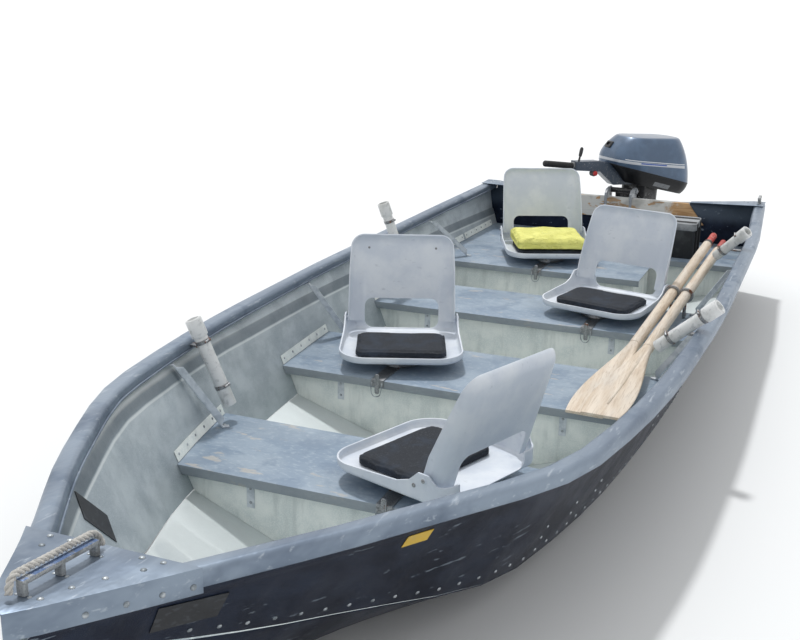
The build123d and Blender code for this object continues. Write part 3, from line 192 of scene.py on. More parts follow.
def pick(*pieces):
    bpy.ops.object.select_all(action="DESELECT")
    for piece in pieces:
        piece.select_set(True)
    bpy.context.view_layer.objects.active = pieces[0]


def open_mesh():
    """Edit mode with the whole mesh selected."""
    bpy.ops.object.mode_set(mode="EDIT")
    bpy.ops.mesh.select_all(action="SELECT")


def close_mesh():
    bpy.ops.object.mode_set(mode="OBJECT")


def modified(piece, kind, **settings):
    """Changes a piece by a modifier with these settings."""
    pick(piece)
    modifier = piece.modifiers.new(kind, kind)
    for name, value in settings.items():
        setattr(modifier, name, value)
    bpy.ops.object.modifier_apply(modifier=modifier.name)


def fitted(piece, material, body="hull", angle=None):
    """Gives a piece its material and the body it moves with, and smooths its edges below the angle."""
    if angle:
        pick(piece)
        bpy.ops.object.shade_smooth_by_angle(angle=radians(angle))
    piece.data.materials.clear()
    piece.data.materials.append(material)
    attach(piece, body)
    return piece


def dressed(node, material, body="hull", soften=0.001, angle=32):
    """A copy of a node's shape with merged points and softened edges, which stands for the node."""
    piece = frame["nodes"][node].copy()
    piece.data = piece.data.copy()
    piece.name = node + "_finished"
    piece.parent = None
    del piece["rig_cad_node"]
    bpy.context.collection.objects.link(piece)
    pick(piece)
    open_mesh()
    bpy.ops.mesh.remove_doubles(threshold=0.00003)
    bpy.ops.mesh.dissolve_limited(angle_limit=radians(0.6))
    close_mesh()
    if piece.data.has_custom_normals:
        bpy.ops.mesh.customdata_custom_splitnormals_clear()
    modified(piece, "BEVEL", width=soften, segments=2, limit_method="ANGLE", angle_limit=radians(angle))
    fitted(piece, material, body, angle)
    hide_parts(node)


def plate_finish():
    """Sheet metal, pale and speckled inside with painted light and shade, and scratched outside under painted shade and
    reflection.
    """
    material, place = new_finish("plate_finish", Metallic=0.35, Specular_IOR_Level=0.25)
    surface = place.node("TexCoord", output="Normal")
    outside = surface.axis(1) * place.axis(1) > 0
    # Painted light: the upward-facing inside surfaces of the bottom are made lighter, as if sunlit.
    sunlit_floor = between(surface.axis(2), 0.6, 0.85)
    speckle = patches(place, 420, 2, 0.46, 0.66)
    blotch = patches(place, 7, 4, 0.38, 0.66)
    streak = patches(place, 16, 4, 0.42, 0.72, (6, 1, 1))
    scratch = patches(place, 26, 6, 0.63, 0.69, (14, 1, 0.5))
    step = (
        (0, 0.303), (0.2, 0.325), (0.4, 0.342), (0.58, 0.368),
        (0.74, 0.405), (0.86, 0.448), (0.95, 0.482), (0.99, 0.508),
    )
    stops = [(share, (z, z, z, 1)) for share, z in step]
    above = place.axis(2) - place.node("ValToRGB", {"stops": stops}, {0: (place.axis(0) - STERN) / HULL_LENGTH})
    inside_colour_with_painted_light = layered(
        (196, 206, 211), (blotch, (164, 175, 182)), (speckle * 0.5, (216, 222, 224)), (streak * 0.3, (132, 144, 152)),
        # Painted shade: the side below the pressed step is darker, as if tucked into shade.
        (between(above, 0.0, -0.012) * 0.3, (136, 147, 154)),
        # Painted shade: a dark band along the ledge of the pressed step.
        (between(above, -0.032, -0.028) * between(above, 0.004, 0.0) * 0.6, (84, 96, 106)),
        # Painted highlight: a bright thin line on the lower lip of the pressed step.
        (between(above, -0.040, -0.037) * between(above, -0.031, -0.034) * 0.6, (222, 228, 228)),
        (sunlit_floor * 0.7, (226, 232, 231)),
    )
    # Painted shade and reflection: the outside is dark navy for shade and reflected water, lighter just below the rail,
    # with real streaks and scratches.
    outside_reflection_and_scratches = layered(
        (22, 32, 52), (blotch, (10, 18, 36)), (streak * 0.35, (44, 56, 76)), (scratch * 0.6, (136, 148, 160)),
        (between(above, 0.01, 0.07) * 0.45, (98, 112, 126)),
    )
    dents = noise(place, 3.2, 2) * 1.6 + speckle * 0.03
    return painted(material, place, Base_Color=layered(inside_colour_with_painted_light, (outside, outside_reflection_and_scratches)),
                   Roughness=0.5 - outside * 0.16 + blotch * 0.1, height=dents, depth=0.006)


plate_metal = plate_finish()
for node in ("bottom_plate", "side_port", "side_starboard"):
    dressed(node, plate_metal)

# Keel strip
# An extruded aluminium bar, riveted along the keel and bent up the stem.
dressed("keel_strip", plate_metal)

# Rivets of the hull
# Low aluminium domes in rows: along both chines, in the side plates at the ends of the benches, and down the
# transom. Each is set flat on the sheet it holds.
SIDES = {1: "port", -1: "starboard"}
CHINE = [
    (0.05, 0.094), (0.950, 0.088), (1.900, 0.082), (2.755, 0.088), (3.515, 0.115), (3.800, 0.165), (4.085, 0.245),
    (4.300, 0.310), (4.512, 0.385),
]
surfaces = {}


def boat_place(x, y, z):
    """A place given by its distance from the stern, its distance to port and its height over the waterline."""
    return Vector((STERN + x, y, z))


def struck(node, start, direction):
    """Where a straight line first meets a CAD node, and the way out from the surface there."""
    if node not in surfaces:
        mesh = frame["nodes"][node].data
        surfaces[node] = BVHTree.FromPolygons([v.co for v in mesh.vertices], [face.vertices for face in mesh.polygons])
    return surfaces[node].ray_cast(Vector(start), Vector(direction))[:2]


def height_at(table, x):
    """Height on a line of (distance from the stern, height) pairs."""
    (x0, z0), (x1, z1) = next(pair for pair in zip(table, table[1:]) if x <= pair[1][0])
    return z0 + (z1 - z0) * (x - x0) / (x1 - x0)


def settle():
    """Puts the place, turn and scale of the picked piece into its mesh."""
    bpy.ops.object.transform_apply(location=True, rotation=True, scale=True)


def stood(point, out):
    """The place of a shape that stands on a point, with its Z along the way out."""
    return Matrix.Translation(point) @ out.to_track_quat("Z", "Y").to_matrix().to_4x4()


def rivets(name, seats, radius, material, body="hull"):
    """Low domes joined as one piece. Each seat is a point and the way out there, and a seat that missed is skipped."""
    bpy.ops.object.select_all(action="DESELECT")
    bpy.ops.mesh.primitive_uv_sphere_add(segments=8, ring_count=6, radius=radius)
    dome = bpy.context.object
    open_mesh()
    bpy.ops.mesh.bisect(plane_co=(0, 0, -0.0003), plane_no=(0, 0, 1), clear_inner=True)
    bpy.ops.mesh.select_all(action="SELECT")
    bpy.ops.transform.resize(value=(1, 1, 0.5), center_override=(0, 0, 0))
    close_mesh()
    bpy.ops.object.shade_smooth()
    row = []
    for point, out in seats:
        if point:
            rivet = dome.copy()
            rivet.data = dome.data.copy()
            rivet.matrix_world = stood(point, out)
            scene.collection.objects.link(rivet)
            row.append(rivet)
    bpy.data.objects.remove(dome)
    pick(*row)
    bpy.ops.object.join()
    settle()
    piece = bpy.context.object
    piece.name = name
    fitted(piece, material, body)


def rivet_finish():
    """Bare aluminium heads, a little lighter than the plates."""
    material, place = new_finish("rivet_finish", Metallic=0.6)
    dull = patches(place, 60, 2, 0.4, 0.65)
    colour = layered((176, 182, 186), (dull, (120, 128, 134)))
    return painted(material, place, Base_Color=colour, Roughness=0.34 + dull * 0.2)


rivet_metal = rivet_finish()
seats = []
for side, name in SIDES.items():
    plate, inwards = f"side_{name}", (0, -side, 0)
    for i in range(72):
        x = 0.12 + i * 0.0605
        seats.append(struck(plate, boat_place(x, side * 1.2, height_at(CHINE, x) + 0.026), inwards))
    for x in (0.60, 0.94, 1.38, 1.54, 1.70, 2.24, 2.42, 2.60, 3.14, 3.30, 3.46):
        for z in (0.182, 0.215):
            seats.append(struck(plate, boat_place(x, side * 1.2, z), inwards))
for y in (-0.60, -0.45, -0.30, 0.30, 0.45, 0.60):
    for z in (0.12, 0.22, 0.32):
        seats.append(struck("transom", (-3, y, z), (1, 0, 0)))
rivets("hull_rivets", seats, 0.0055, rivet_metal)

# Gunwales
# Aluminium extrusions crimped over the upper edges of the side plates. Long use has brushed them and dented them.


def rail_finish():
    """Bluish brushed metal with dark stains and pale scuffs along it."""
    material, place = new_finish("rail_finish", Metallic=0.55)
    streak = patches(place, 9, 4, 0.38, 0.68, (10, 1, 1))
    scuff = patches(place, 70, 5, 0.58, 0.74, (6, 1, 1))
    stain = patches(place, 5, 4, 0.5, 0.68)
    colour = layered((132, 145, 160), (streak, (104, 117, 134)), (stain * 0.5, (80, 93, 110)),
                     (scuff * 0.55, (184, 193, 202)))
    return painted(material, place, Base_Color=colour, Roughness=0.4 + stain * 0.18,
                   height=noise(place, 18, 3, (2, 1, 1)) + scuff * 0.05, depth=0.003)


rail_metal = rail_finish()
for name in SIDES.values():
    dressed(f"gunwale_{name}", rail_metal, soften=0.0055, angle=38)

# Rolled lips of the gunwales
# The inner flange of each extrusion ends in a small round bead, just below the rail.
RAIL = [
    (0.0, 0.453), (0.475, 0.443), (0.950, 0.437), (1.425, 0.438), (1.900, 0.440), (2.328, 0.4428), (2.755, 0.447),
    (3.135, 0.4526), (3.515, 0.462), (3.800, 0.4822), (4.085, 0.509), (4.300, 0.5245), (4.461, 0.5368), (4.600, 0.550),
]


def drawn(name, kind, places):
    """A curve with a point at each place, as an object, with its spline."""
    line = bpy.data.curves.new(name, "CURVE")
    line.dimensions = "3D"
    spline = line.splines.new(kind)
    spline.points.add(len(places) - 1)
    for point, place in zip(spline.points, places):
        point.co = (*place, 1)
    made = bpy.data.objects.new(name, line)
    scene.collection.objects.link(made)
    return made, spline


def bead(name, places, radius, closed=False):
    """A round bead along the places."""
    made, spline = drawn(name, "POLY", places)
    spline.use_cyclic_u = closed
    made.data.bevel_depth = radius
    made.data.bevel_resolution = 2
    pick(made)
    bpy.ops.object.convert(target="MESH")
    bpy.ops.object.shade_smooth()
    return made


for side, name in SIDES.items():
    found = []
    for i in range(81):
        x = 0.10 + i * 0.055
        found.append(struck(f"gunwale_{name}", boat_place(x, 0, height_at(RAIL, x) - 0.031), (0, side, 0))[0])
    lip = bead(f"rail_lip_{name}", [(p.x, p.y - side * 0.001, p.z) for p in found if p], 0.0035)
    fitted(lip, rail_metal)

# Transom and corner plates
# The transom is a flat plate with a pale cap folded over its dipped edge, a plywood board inside and one outside
# where the motor clamps on, and a triangular plate at each corner.
dressed("transom", plate_metal)
dressed("corner_plates", rail_metal, soften=0.001)


def board_finish():
    """Plywood under worn whitish paint, bare and tan towards its port end."""
    material, place = new_finish("board_finish")
    grain = patches(place, 60, 4, 0.4, 0.66, (1, 9, 1))
    weathered = patches(place, 9, 3, 0.46, 0.64)
    wood = layered((196, 160, 118), (grain, (164, 126, 86)), (weathered * 0.5, (146, 134, 120)))
    paint = layered((206, 206, 202), (weathered, (176, 176, 172)))
    bare = between(place.axis(1) + noise(place, 30, 4) * 0.16, 0.33, 0.38)
    bare = bare.maths("MAXIMUM", bare, patches(place, 26, 5, 0.56, 0.6, (1, 2.5, 1)))
    return painted(material, place, Base_Color=layered(paint, (bare, wood)), Roughness=0.78 + grain * 0.1,
                   height=grain, depth=0.0006)


dressed("transom_pads", board_finish(), soften=0.002)


def block(name, middle, size):
    """A block, left in edit mode with all of it selected."""
    bpy.ops.object.select_all(action="DESELECT")
    bpy.ops.mesh.primitive_cube_add(size=1, location=middle)
    made = bpy.context.object
    made.name = name
    open_mesh()
    bpy.ops.transform.resize(value=size, center_override=middle)
    return made


def choose(piece, kind, wanted):
    """Selects, in edit mode, the edges whose two ends pass the test, or the faces whose way out and middle do."""
    bpy.ops.mesh.select_mode(type=kind)
    bpy.ops.mesh.select_all(action="DESELECT")
    close_mesh()
    mesh = piece.data
    if kind == "EDGE":
        for edge in mesh.edges:
            edge.select = wanted(*(mesh.vertices[i].co for i in edge.vertices))
    else:
        for face in mesh.polygons:
            face.select = wanted(face.normal, face.center)
    bpy.ops.object.mode_set(mode="EDIT")


def cap_finish():
    """Thin whitened aluminium, chalky where the sun and water reach it."""
    material, place = new_finish("cap_finish", Metallic=0.25)
    chalk = patches(place, 30, 4, 0.4, 0.62, (1, 3, 1))
    colour = layered((196, 199, 200), (chalk, (224, 226, 226)))
    return painted(material, place, Base_Color=colour, Roughness=0.45 + chalk * 0.15, height=chalk, depth=0.0003)


CAP_MIDDLE = (-2.3668, 0, 0.4135)
CAP_PIVOT = (-2.3668, 0, 0.4200)
TRANSOM_LEAN = 10
cap = block("transom_cap", CAP_MIDDLE, (0.0085, 0.640, 0.0175))
for side in SIDES:
    choose(cap, "FACE", lambda out, middle: out.y * side > 0.9)
    bpy.ops.mesh.extrude_region_move(TRANSFORM_OT_translate={"value": (-0.0007, side * 0.048, 0.0043)})
bpy.ops.mesh.select_all(action="SELECT")
bpy.ops.transform.rotate(value=radians(TRANSOM_LEAN), orient_axis="Y", center_override=CAP_PIVOT)
close_mesh()
modified(cap, "BEVEL", width=0.0018, segments=2)
settle()
fitted(cap, cap_finish(), angle=35)

# Stern cleat
# A small cast horn cleat, screwed to the port corner plate and worn pale.


def casting_finish(name, blue=False):
    """Rough cast aluminium, with old blue paint left on the upper edges where it has any."""
    material, place = new_finish(name, Metallic=0.5)
    pits = patches(place, 260, 3, 0.42, 0.66)
    grime = patches(place, 28, 3, 0.45, 0.66)
    colour = layered((172, 175, 176), (pits, (140, 143, 145)), (grime * 0.6, (96, 96, 94)))
    if blue:
        up = place.node("NewGeometry", output="Normal").axis(2)
        colour = layered(colour, (between(up, 0.75, 0.95) * patches(place, 40, 3, 0.36, 0.5) * 0.85, (74, 104, 150)))
    return painted(material, place, Base_Color=colour, Roughness=0.52 + grime * 0.2, height=pits, depth=0.0006)


def struck_down(node, x, y):
    """Where a line straight down meets a CAD node at the stern or the bow."""
    return struck(node, (x, y, 0.8), (0, 0, -1))


dressed("stern_cleat", casting_finish("cleat_casting"), soften=0.0035)
cleat_screws = [struck_down("corner_plates", STERN + 0.045 + x, 0.715) for x in (-0.022, 0.022)]
rivets("cleat_screws", cleat_screws, 0.004, rivet_metal)
CLEAT = Vector((-2.33, 0.715, 0.456))
CORNER_RIVETS = ((0.016, 0.41), (0.018, 0.52), (0.018, 0.64), (0.05, 0.70), (0.09, 0.70), (0.115, 0.735), (0.045, 0.66))
corner_seats = []
for side in SIDES:
    for x, y in CORNER_RIVETS:
        point, out = struck_down("corner_plates", STERN + x, side * y)
        if point and (point - CLEAT).length > 0.03:
            corner_seats.append((point, out))
rivets("corner_rivets", corner_seats, 0.0048, rivet_metal)

# Bow deck
# A triangular plate that caps the bow. Its skirt folds down over both rails, and dome rivets hold it.
dressed("bow_deck", rail_metal, soften=0.004)
deck_seats = []
for x, y in ((2.102, 0.118), (2.102, 0.075), (2.140, 0.105), (2.196, 0.070), (2.250, 0.046), (2.305, 0.030)):
    deck_seats += [struck_down("bow_deck", x, side * y) for side in SIDES]
for side in SIDES:
    for x in (2.102, 2.150, 2.205, 2.265):
        deck_seats.append(struck("bow_deck", (x, side * 0.6, 0.508 + (x - 2.1) * 0.1), (0, -side, 0)))
rivets("deck_rivets", deck_seats, 0.0062, rivet_metal)

# Blank plates at the bow
# Thin painted sheets stuck inside the starboard bow and outside the port bow, and a small one further aft. They
# are plain, and their paint is scuffed.


def plate_paint(name, colour, worn):
    """Thin painted sheet, scuffed along its length."""
    material, place = new_finish(name)
    scuff = patches(place, 70, 4, 0.56, 0.66, (3, 1, 1))
    fade = patches(place, 14, 3, 0.4, 0.7)
    return painted(material, place, Base_Color=layered(colour, (scuff * 0.5, worn), (fade * 0.35, worn)),
                   Roughness=0.4 + fade * 0.2)


def faces_out():
    """Turns all faces of the picked piece outwards."""
    open_mesh()
    bpy.ops.mesh.normals_make_consistent(inside=False)
    close_mesh()


def laid(name, node, start, along, down, direction, material, lift=0.0012):
    """A thin sheet whose points are laid on a CAD node from the start corner, along two edges."""
    bpy.ops.object.select_all(action="DESELECT")
    bpy.ops.mesh.primitive_grid_add(x_subdivisions=8, y_subdivisions=4, size=1, location=(0, 0, 0))
    sheet = bpy.context.object
    sheet.name = name
    for vertex in sheet.data.vertices:
        aim = Vector(start) + Vector(along) * (vertex.co.x + 0.5) + Vector(down) * (0.5 - vertex.co.y)
        point, out = struck(node, aim - Vector(direction) * 0.4, direction)
        vertex.co = point + out * lift
    modified(sheet, "SOLIDIFY", thickness=0.0012, offset=0)
    faces_out()
    fitted(sheet, material, angle=30)


black_plate = plate_paint("black_plate", (26, 28, 32), (64, 68, 74))
yellow_plate = plate_paint("yellow_plate", (206, 170, 58), (188, 164, 96))
TO_STARBOARD = (0, -1, 0)
for name, node, start, along, down, paint in (
    ("plate_inside", "side_starboard", (1.782, -0.3, 0.447), (-0.087, 0, -0.095), (0.030, 0, -0.042), black_plate),
    ("plate_outside", "side_port", (2.008, 0.4, 0.452), (0.120, 0, 0.018), (-0.006, 0, -0.058), black_plate),
    ("plate_small", "side_port", (1.600, 0.6, 0.432), (0.062, 0, 0.006), (-0.004, 0, -0.030), yellow_plate),
):
    laid(name, node, start, along, down, TO_STARBOARD, paint)

# Bow handle
# A low casting on three legs, with traces of blue paint along its top. A pair of screws holds each leg to the deck.
dressed("bow_handle", casting_finish("handle_casting", blue=True), soften=0.0028)
handle_seats = [struck_down("bow_deck", x, y) for x in (2.131, 2.220, 2.309) for y in (0.0125, -0.0125)]
rivets("handle_screws", handle_seats, 0.0042, rivet_metal)

# Handle rope
# White three-strand rope that lies along the top of the handle and is held at both ends.
ROPE_ROUTE = [
    (2.333, -0.006, 0.57699), (2.328, -0.008, 0.60336), (2.289, -0.0085, 0.59879), (2.247, -0.0075, 0.59419),
    (2.203, -0.0085, 0.5889), (2.153, -0.0075, 0.58403), (2.111, -0.008, 0.57952), (2.103, -0.006, 0.55046),
]
STRAND_RADIUS = 0.0036
STRAND_OFFSET = 0.0034
STRAND_PITCH = 0.034


def cord_line(route):
    """Points along a smooth curve drawn by its control points."""
    line, spline = drawn("cord_line", "NURBS", route)
    line.data.resolution_u = 24
    spline.order_u = 3
    spline.use_endpoint_u = True
    bpy.context.view_layer.update()
    path = [vertex.co.copy() for vertex in bpy.data.meshes.new_from_object(line).vertices]
    bpy.data.objects.remove(line)
    return path


def resampled(path, step):
    """Points at an even step along the path, with the path's length."""
    total = sum((b - a).length for a, b in zip(path, path[1:]))
    count = max(2, round(total / step))
    step = total / count
    made, left = [path[0].copy()], step
    for a, b in zip(path, path[1:]):
        run = (b - a).length
        done = 0.0
        while run - done >= left - 1e-9:
            done += left
            made.append(a.lerp(b, done / run))
            left = step
        left -= run - done
    return made[:count] + [path[-1].copy()], total


def ring(centre, one, other, sides):
    """Points round a centre: the two ways across give the ring its half-breadths."""
    return [centre + (one * cos(2 * pi * k / sides) + other * sin(2 * pi * k / sides)) for k in range(sides)]


def strand_rings(path, radius, offset, turn, pitch, sides):
    """Rings of points of one strand that winds round the path."""
    rings = []
    normal = Vector((0, 1, 0))
    travelled = 0.0
    for i, point in enumerate(path):
        ahead = (path[min(i + 1, len(path) - 1)] - path[max(i - 1, 0)]).normalized()
        normal = (normal - ahead * normal.dot(ahead)).normalized()
        if i:
            travelled += (point - path[i - 1]).length
        angle = turn + 2 * pi * travelled / pitch
        out = normal * cos(angle) + ahead.cross(normal) * sin(angle)
        rings.append(ring(point + out * offset, out * radius, ahead.cross(out) * radius, sides))
    return rings


def strand_mesh(name, groups):
    """One mesh of closed tubes, each given by its rings."""
    points, faces = [], []
    for rings in groups:
        sides = len(rings[0])
        for i, points_round in enumerate(rings):
            base = len(points)
            points += points_round
            if i:
                for k in range(sides):
                    a, b = base - sides + k, base - sides + (k + 1) % sides
                    faces.append((a, b, b + sides, a + sides))
        first = len(points) - sides * len(rings)
        faces.append(tuple(first + k for k in range(sides))[::-1])
        faces.append(tuple(len(points) - sides + k for k in range(sides)))
    mesh = bpy.data.meshes.new(name)
    mesh.from_pydata(points, [], faces)
    made = bpy.data.objects.new(name, mesh)
    scene.collection.objects.link(made)
    pick(made)
    faces_out()
    bpy.ops.object.shade_smooth()
    return made


def rope_finish():
    """White laid fibre, with fine threads along the strands and grey dirt in between."""
    material, place = new_finish("rope_finish", Roughness=0.9)
    thread = patches(place, 900, 2, 0.4, 0.62)
    dirt = patches(place, 60, 3, 0.45, 0.66)
    colour = layered((226, 224, 218), (thread, (196, 194, 190)), (dirt * 0.45, (150, 150, 150)))
    return painted(material, place, Base_Color=colour, height=thread, depth=0.0005)


rope_path = cord_line(ROPE_ROUTE)
rope_even, rope_run = resampled(rope_path, 0.0022)
turns = (2 * pi * k / 3 for k in range(3))
strands = [strand_rings(rope_even, STRAND_RADIUS, STRAND_OFFSET, turn, STRAND_PITCH, 10) for turn in turns]
rope = strand_mesh("handle_rope", strands)
fitted(rope, rope_finish())
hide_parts("bow_rope")

# Bench tops
# Folded aluminium sheet with a lip along the front and back, painted blue-grey. Feet and gear have worn the paint
# pale in scuffs.


def bench_finish():
    """Worn blue-grey paint with whitish scuffs and dark stains, and painted shade on the upright lip faces."""
    material, place = new_finish("bench_finish", Metallic=0.1, Specular_IOR_Level=0.3)
    cloud = patches(place, 6, 5, 0.36, 0.66, (1, 1.6, 1))
    worn = patches(place, 13, 8, 0.49, 0.6, (1, 2.2, 1))
    fleck = patches(place, 90, 6, 0.5, 0.68, (1, 2, 1))
    stain = patches(place, 9, 6, 0.52, 0.64, shift=(3, 1, 0))
    tan_scuff = patches(place, 24, 7, 0.62, 0.68, (1, 3, 1), (5, 2, 0))
    # Painted shade: faces that don't point up, such as the front lip, are greyer, as if in shade.
    lip = between(place.node("TexCoord", output="Normal").axis(2), 0.7, 0.3)
    colour = layered(
        (126, 143, 161), (cloud, (143, 157, 171)), (worn * 0.4, (164, 177, 189)), (fleck * 0.3, (184, 194, 202)),
        (stain * 0.4, (104, 122, 143)), (tan_scuff * 0.5, (196, 186, 170)), (lip * 0.6, (146, 150, 150)),
    )
    return painted(material, place, Base_Color=colour, Roughness=0.5 + worn * 0.2,
                   height=worn * 0.4 + noise(place, 7, 2), depth=0.002)


dressed("bench_tops", bench_finish(), soften=0.0022)

# Bench boxes
# Sheet panels under the tops, riveted down to the V bottom. They are pale grey-green and speckled, with grime low
# down.


def panel_finish():
    """Pale grey-green speckled sheet with dirt washed down towards the bottom."""
    material, place = new_finish("panel_finish", Metallic=0.05)
    speckle = patches(place, 240, 3, 0.46, 0.62)
    blotch = patches(place, 8, 6, 0.4, 0.62)
    run = patches(place, 22, 4, 0.48, 0.7, (1, 1, 5))
    low = between(place.axis(2), 0.06, -0.06) * blotch
    colour = layered((236, 241, 237), (blotch, (216, 224, 222)), (speckle * 0.5, (244, 246, 242)),
                     (run * 0.4, (182, 190, 188)), (low * 0.5, (136, 144, 142)))
    return painted(material, place, Base_Color=colour, Roughness=0.55 + blotch * 0.1,
                   height=noise(place, 4, 2) + speckle * 0.02, depth=0.005)


panel_metal = panel_finish()
dressed("bench_boxes", panel_metal, soften=0.002)

# Bench flanges
# Strips turned up against the side plates at both ends of each bench and riveted through them, and short straps
# down the front panels. Each bench is given by its back and front edge, its height and the sides that it reaches.


def strut_finish():
    """Pale aluminium bar with grey streaks along it."""
    material, place = new_finish("strut_finish", Metallic=0.2)
    streak = patches(place, 40, 4, 0.4, 0.66)
    colour = layered((206, 212, 218), (streak, (178, 186, 194)))
    return painted(material, place, Base_Color=colour, Roughness=0.4 + streak * 0.15, height=streak, depth=0.0004)


strut_metal = strut_finish()
BENCH_ENDS = [
    (3.104, 3.493, 0.200, (1, -1)), (2.202, 2.634, 0.200, (1, -1)), (1.337, 1.737, 0.200, (1, -1)),
    (0.540, 1.000, 0.225, (-1,)), (0.110, 0.535, 0.225, (1, -1)),
]
PANEL_STRAPS = [(2.604, -0.43), (2.604, 0.36), (3.463, -0.30), (1.707, -0.45), (1.707, 0.33)]
STRAP_TOP = 0.172
flange_seats = []
for number, (back, front, height, sides) in enumerate(BENCH_ENDS, start=1):
    for side in sides:
        node = f"side_{SIDES[side]}"
        run = front - back - 0.02
        laid(f"bench_flange_{number}_{SIDES[side]}", node, boat_place(back + 0.01, 0.3 * side, height + 0.030),
             (run, 0, 0), (0, 0, -0.029), (0, side, 0), panel_metal, lift=0.0016)
        for i in range(6):
            point, out = struck(node, boat_place(back + 0.03 + (run - 0.04) * i / 5, 0, height + 0.017), (0, side, 0))
            flange_seats.append((point + out * 0.0022, out))
for number, (x, y) in enumerate(PANEL_STRAPS, start=1):
    laid(f"panel_strap_{number}", "bench_boxes", boat_place(x, y - 0.012, STRAP_TOP - 0.004), (0, 0.024, 0),
         (0, 0, -0.070), (-1, 0, 0), strut_metal, lift=0.0014)
    for z in (STRAP_TOP - 0.016, STRAP_TOP - 0.058):
        point, out = struck("bench_boxes", boat_place(x + 0.2, y, z), (-1, 0, 0))
        flange_seats.append((point + out * 0.0018, out))
rivets("bench_rivets", flange_seats, 0.0048, rivet_metal)

# Braces
# Flat aluminium struts, bent at both ends and bolted, from the benches up to the rails. A thin web along each makes
# it an angle. A web is given by its foot, the distance of its head from the stern, and its sides.
dressed("braces", strut_metal, soften=0.0016)
BRACE_FEET = [
    (3.200, 0.540, 0.200, (1, -1)), (2.215, 0.590, 0.200, (1, -1)), (1.370, 0.600, 0.200, (1, -1)),
    (0.872, 0.560, 0.225, (-1,)),
]
brace_seats = []
for x, y, z, sides in BRACE_FEET:
    for side in sides:
        point, out = struck("braces", boat_place(x, side * y, z + 0.05), (0, 0, -1))
        if point and point.z < z + 0.012:
            brace_seats.append((point, out))
rivets("brace_bolts", brace_seats, 0.006, rivet_metal)
BRACE_WEBS = [
    (3.210, 0.540, 0.205, 3.300, (1, -1)), (2.225, 0.590, 0.205, 2.268, (1, -1)), (1.360, 0.600, 0.205, 1.290, (1, -1)),
    (0.880, 0.560, 0.230, 0.950, (-1,)),
]
WEB_PROFILE = ((0.03, 0.004), (0.08, 0.019), (0.92, 0.019), (0.97, 0.004))
WEB_HALF = 0.0013
brace_points = [vertex.co for vertex in frame["nodes"]["braces"].data.vertices]
for number, (x, y, z, head_x, sides) in enumerate(BRACE_WEBS, start=1):
    for side in sides:
        near = [p for p in brace_points if p.y * side > 0 and abs(p.x - STERN - head_x) < 0.06 and p.z > 0.3]
        highest = max(p.z for p in near)
        crest = [p for p in near if p.z > highest - 0.002]
        inner = min(abs(p.y) for p in crest)
        ends = [p for p in crest if abs(p.y) < inner + 0.004]
        head = sum(ends, Vector()) / len(ends) - Vector((0, 0, 0.004))
        foot = boat_place(x, side * y, z)
        along = (head - foot).normalized()
        level = Vector((along.x, along.y, 0)).normalized()
        across = Vector((level.y, -level.x, 0)) * (1 if level.y > 0 else -1)
        inboard = across.cross(along) * (1 if across.cross(along).z > 0 else -1)
        rings = []
        for share, depth in WEB_PROFILE:
            base = foot.lerp(head, share) + across * 0.0066
            corners = ((-WEB_HALF, 0), (WEB_HALF, 0), (WEB_HALF, depth), (-WEB_HALF, depth))
            rings.append([base + inboard * v + across * u for u, v in corners])
        fitted(strand_mesh(f"brace_web_{number}_{SIDES[side]}", [rings]), strut_metal, angle=30)

# Rod holders
# Cut lengths of white plastic pipe with a wider collar on the upper end, open at both ends. Each is given by the two
# ends of its middle line.
TUBE_LINES = [
    ((3.146, -0.550, 0.250), (3.180, -0.650, 0.520)), ((1.560, -0.610, 0.300), (1.614, -0.700, 0.600)),
    ((2.360, 0.602, 0.362), (2.392, 0.790, 0.533)), ((1.015, 0.625, 0.380), (1.080, 0.751, 0.515)),
]
COLLAR_RADIUS = 0.0236
COLLAR_LENGTH = 0.056
COLLAR_WALL = 0.0036


def pipe_finish():
    """White plastic pipe, slightly yellowed and scuffed grey."""
    material, place = new_finish("pipe_finish")
    scuff = patches(place, 60, 4, 0.52, 0.66)
    dirt = patches(place, 12, 3, 0.46, 0.68)
    colour = layered((222, 224, 224), (dirt, (198, 200, 198)), (scuff * 0.5, (164, 168, 170)))
    return painted(material, place, Base_Color=colour, Roughness=0.36 + scuff * 0.2, height=scuff, depth=0.0003)


pipe_white = pipe_finish()
dressed("rod_holders", pipe_white, soften=0.0008)
for number, line in enumerate(TUBE_LINES, start=1):
    low, top = (boat_place(*end) for end in line)
    along = (top - low).normalized()
    bpy.ops.object.select_all(action="DESELECT")
    bpy.ops.mesh.primitive_cylinder_add(vertices=40, radius=COLLAR_RADIUS, depth=COLLAR_LENGTH, end_fill_type="NOTHING")
    collar = bpy.context.object
    collar.name = f"tube_collar_{number}"
    collar.matrix_world = stood(top - along * 0.029, along)
    settle()
    modified(collar, "SOLIDIFY", thickness=COLLAR_WALL, offset=0)
    modified(collar, "BEVEL", width=0.001, segments=2, limit_method="ANGLE")
    fitted(collar, pipe_white, angle=38)

# Hose clamps
# Worm-drive bands that hold each pipe to a bracket on the rail, dull and partly rusted, each with its screw.
SCREW_PROFILE = [(0, 0.0026), (0.0005, 0.0034), (0.014, 0.0034), (0.0142, 0.0046), (0.0212, 0.0046), (0.022, 0.0036)]


def band_finish(name, rust_from=0.5):
    """Dull steel with rust in patches."""
    material, place = new_finish(name)
    rust = patches(place, 45, 4, rust_from, rust_from + 0.1)
    pits = patches(place, 300, 2, 0.4, 0.66)
    rusted = layered((124, 76, 46), (pits, (84, 52, 36)))
    colour = layered((158, 160, 162), (pits, (122, 124, 126)), (rust, rusted))
    return painted(material, place, Base_Color=colour, Metallic=0.8 - rust * 0.7, Roughness=0.38 + rust * 0.4,
                   height=rust + pits * 0.3, depth=0.0004)


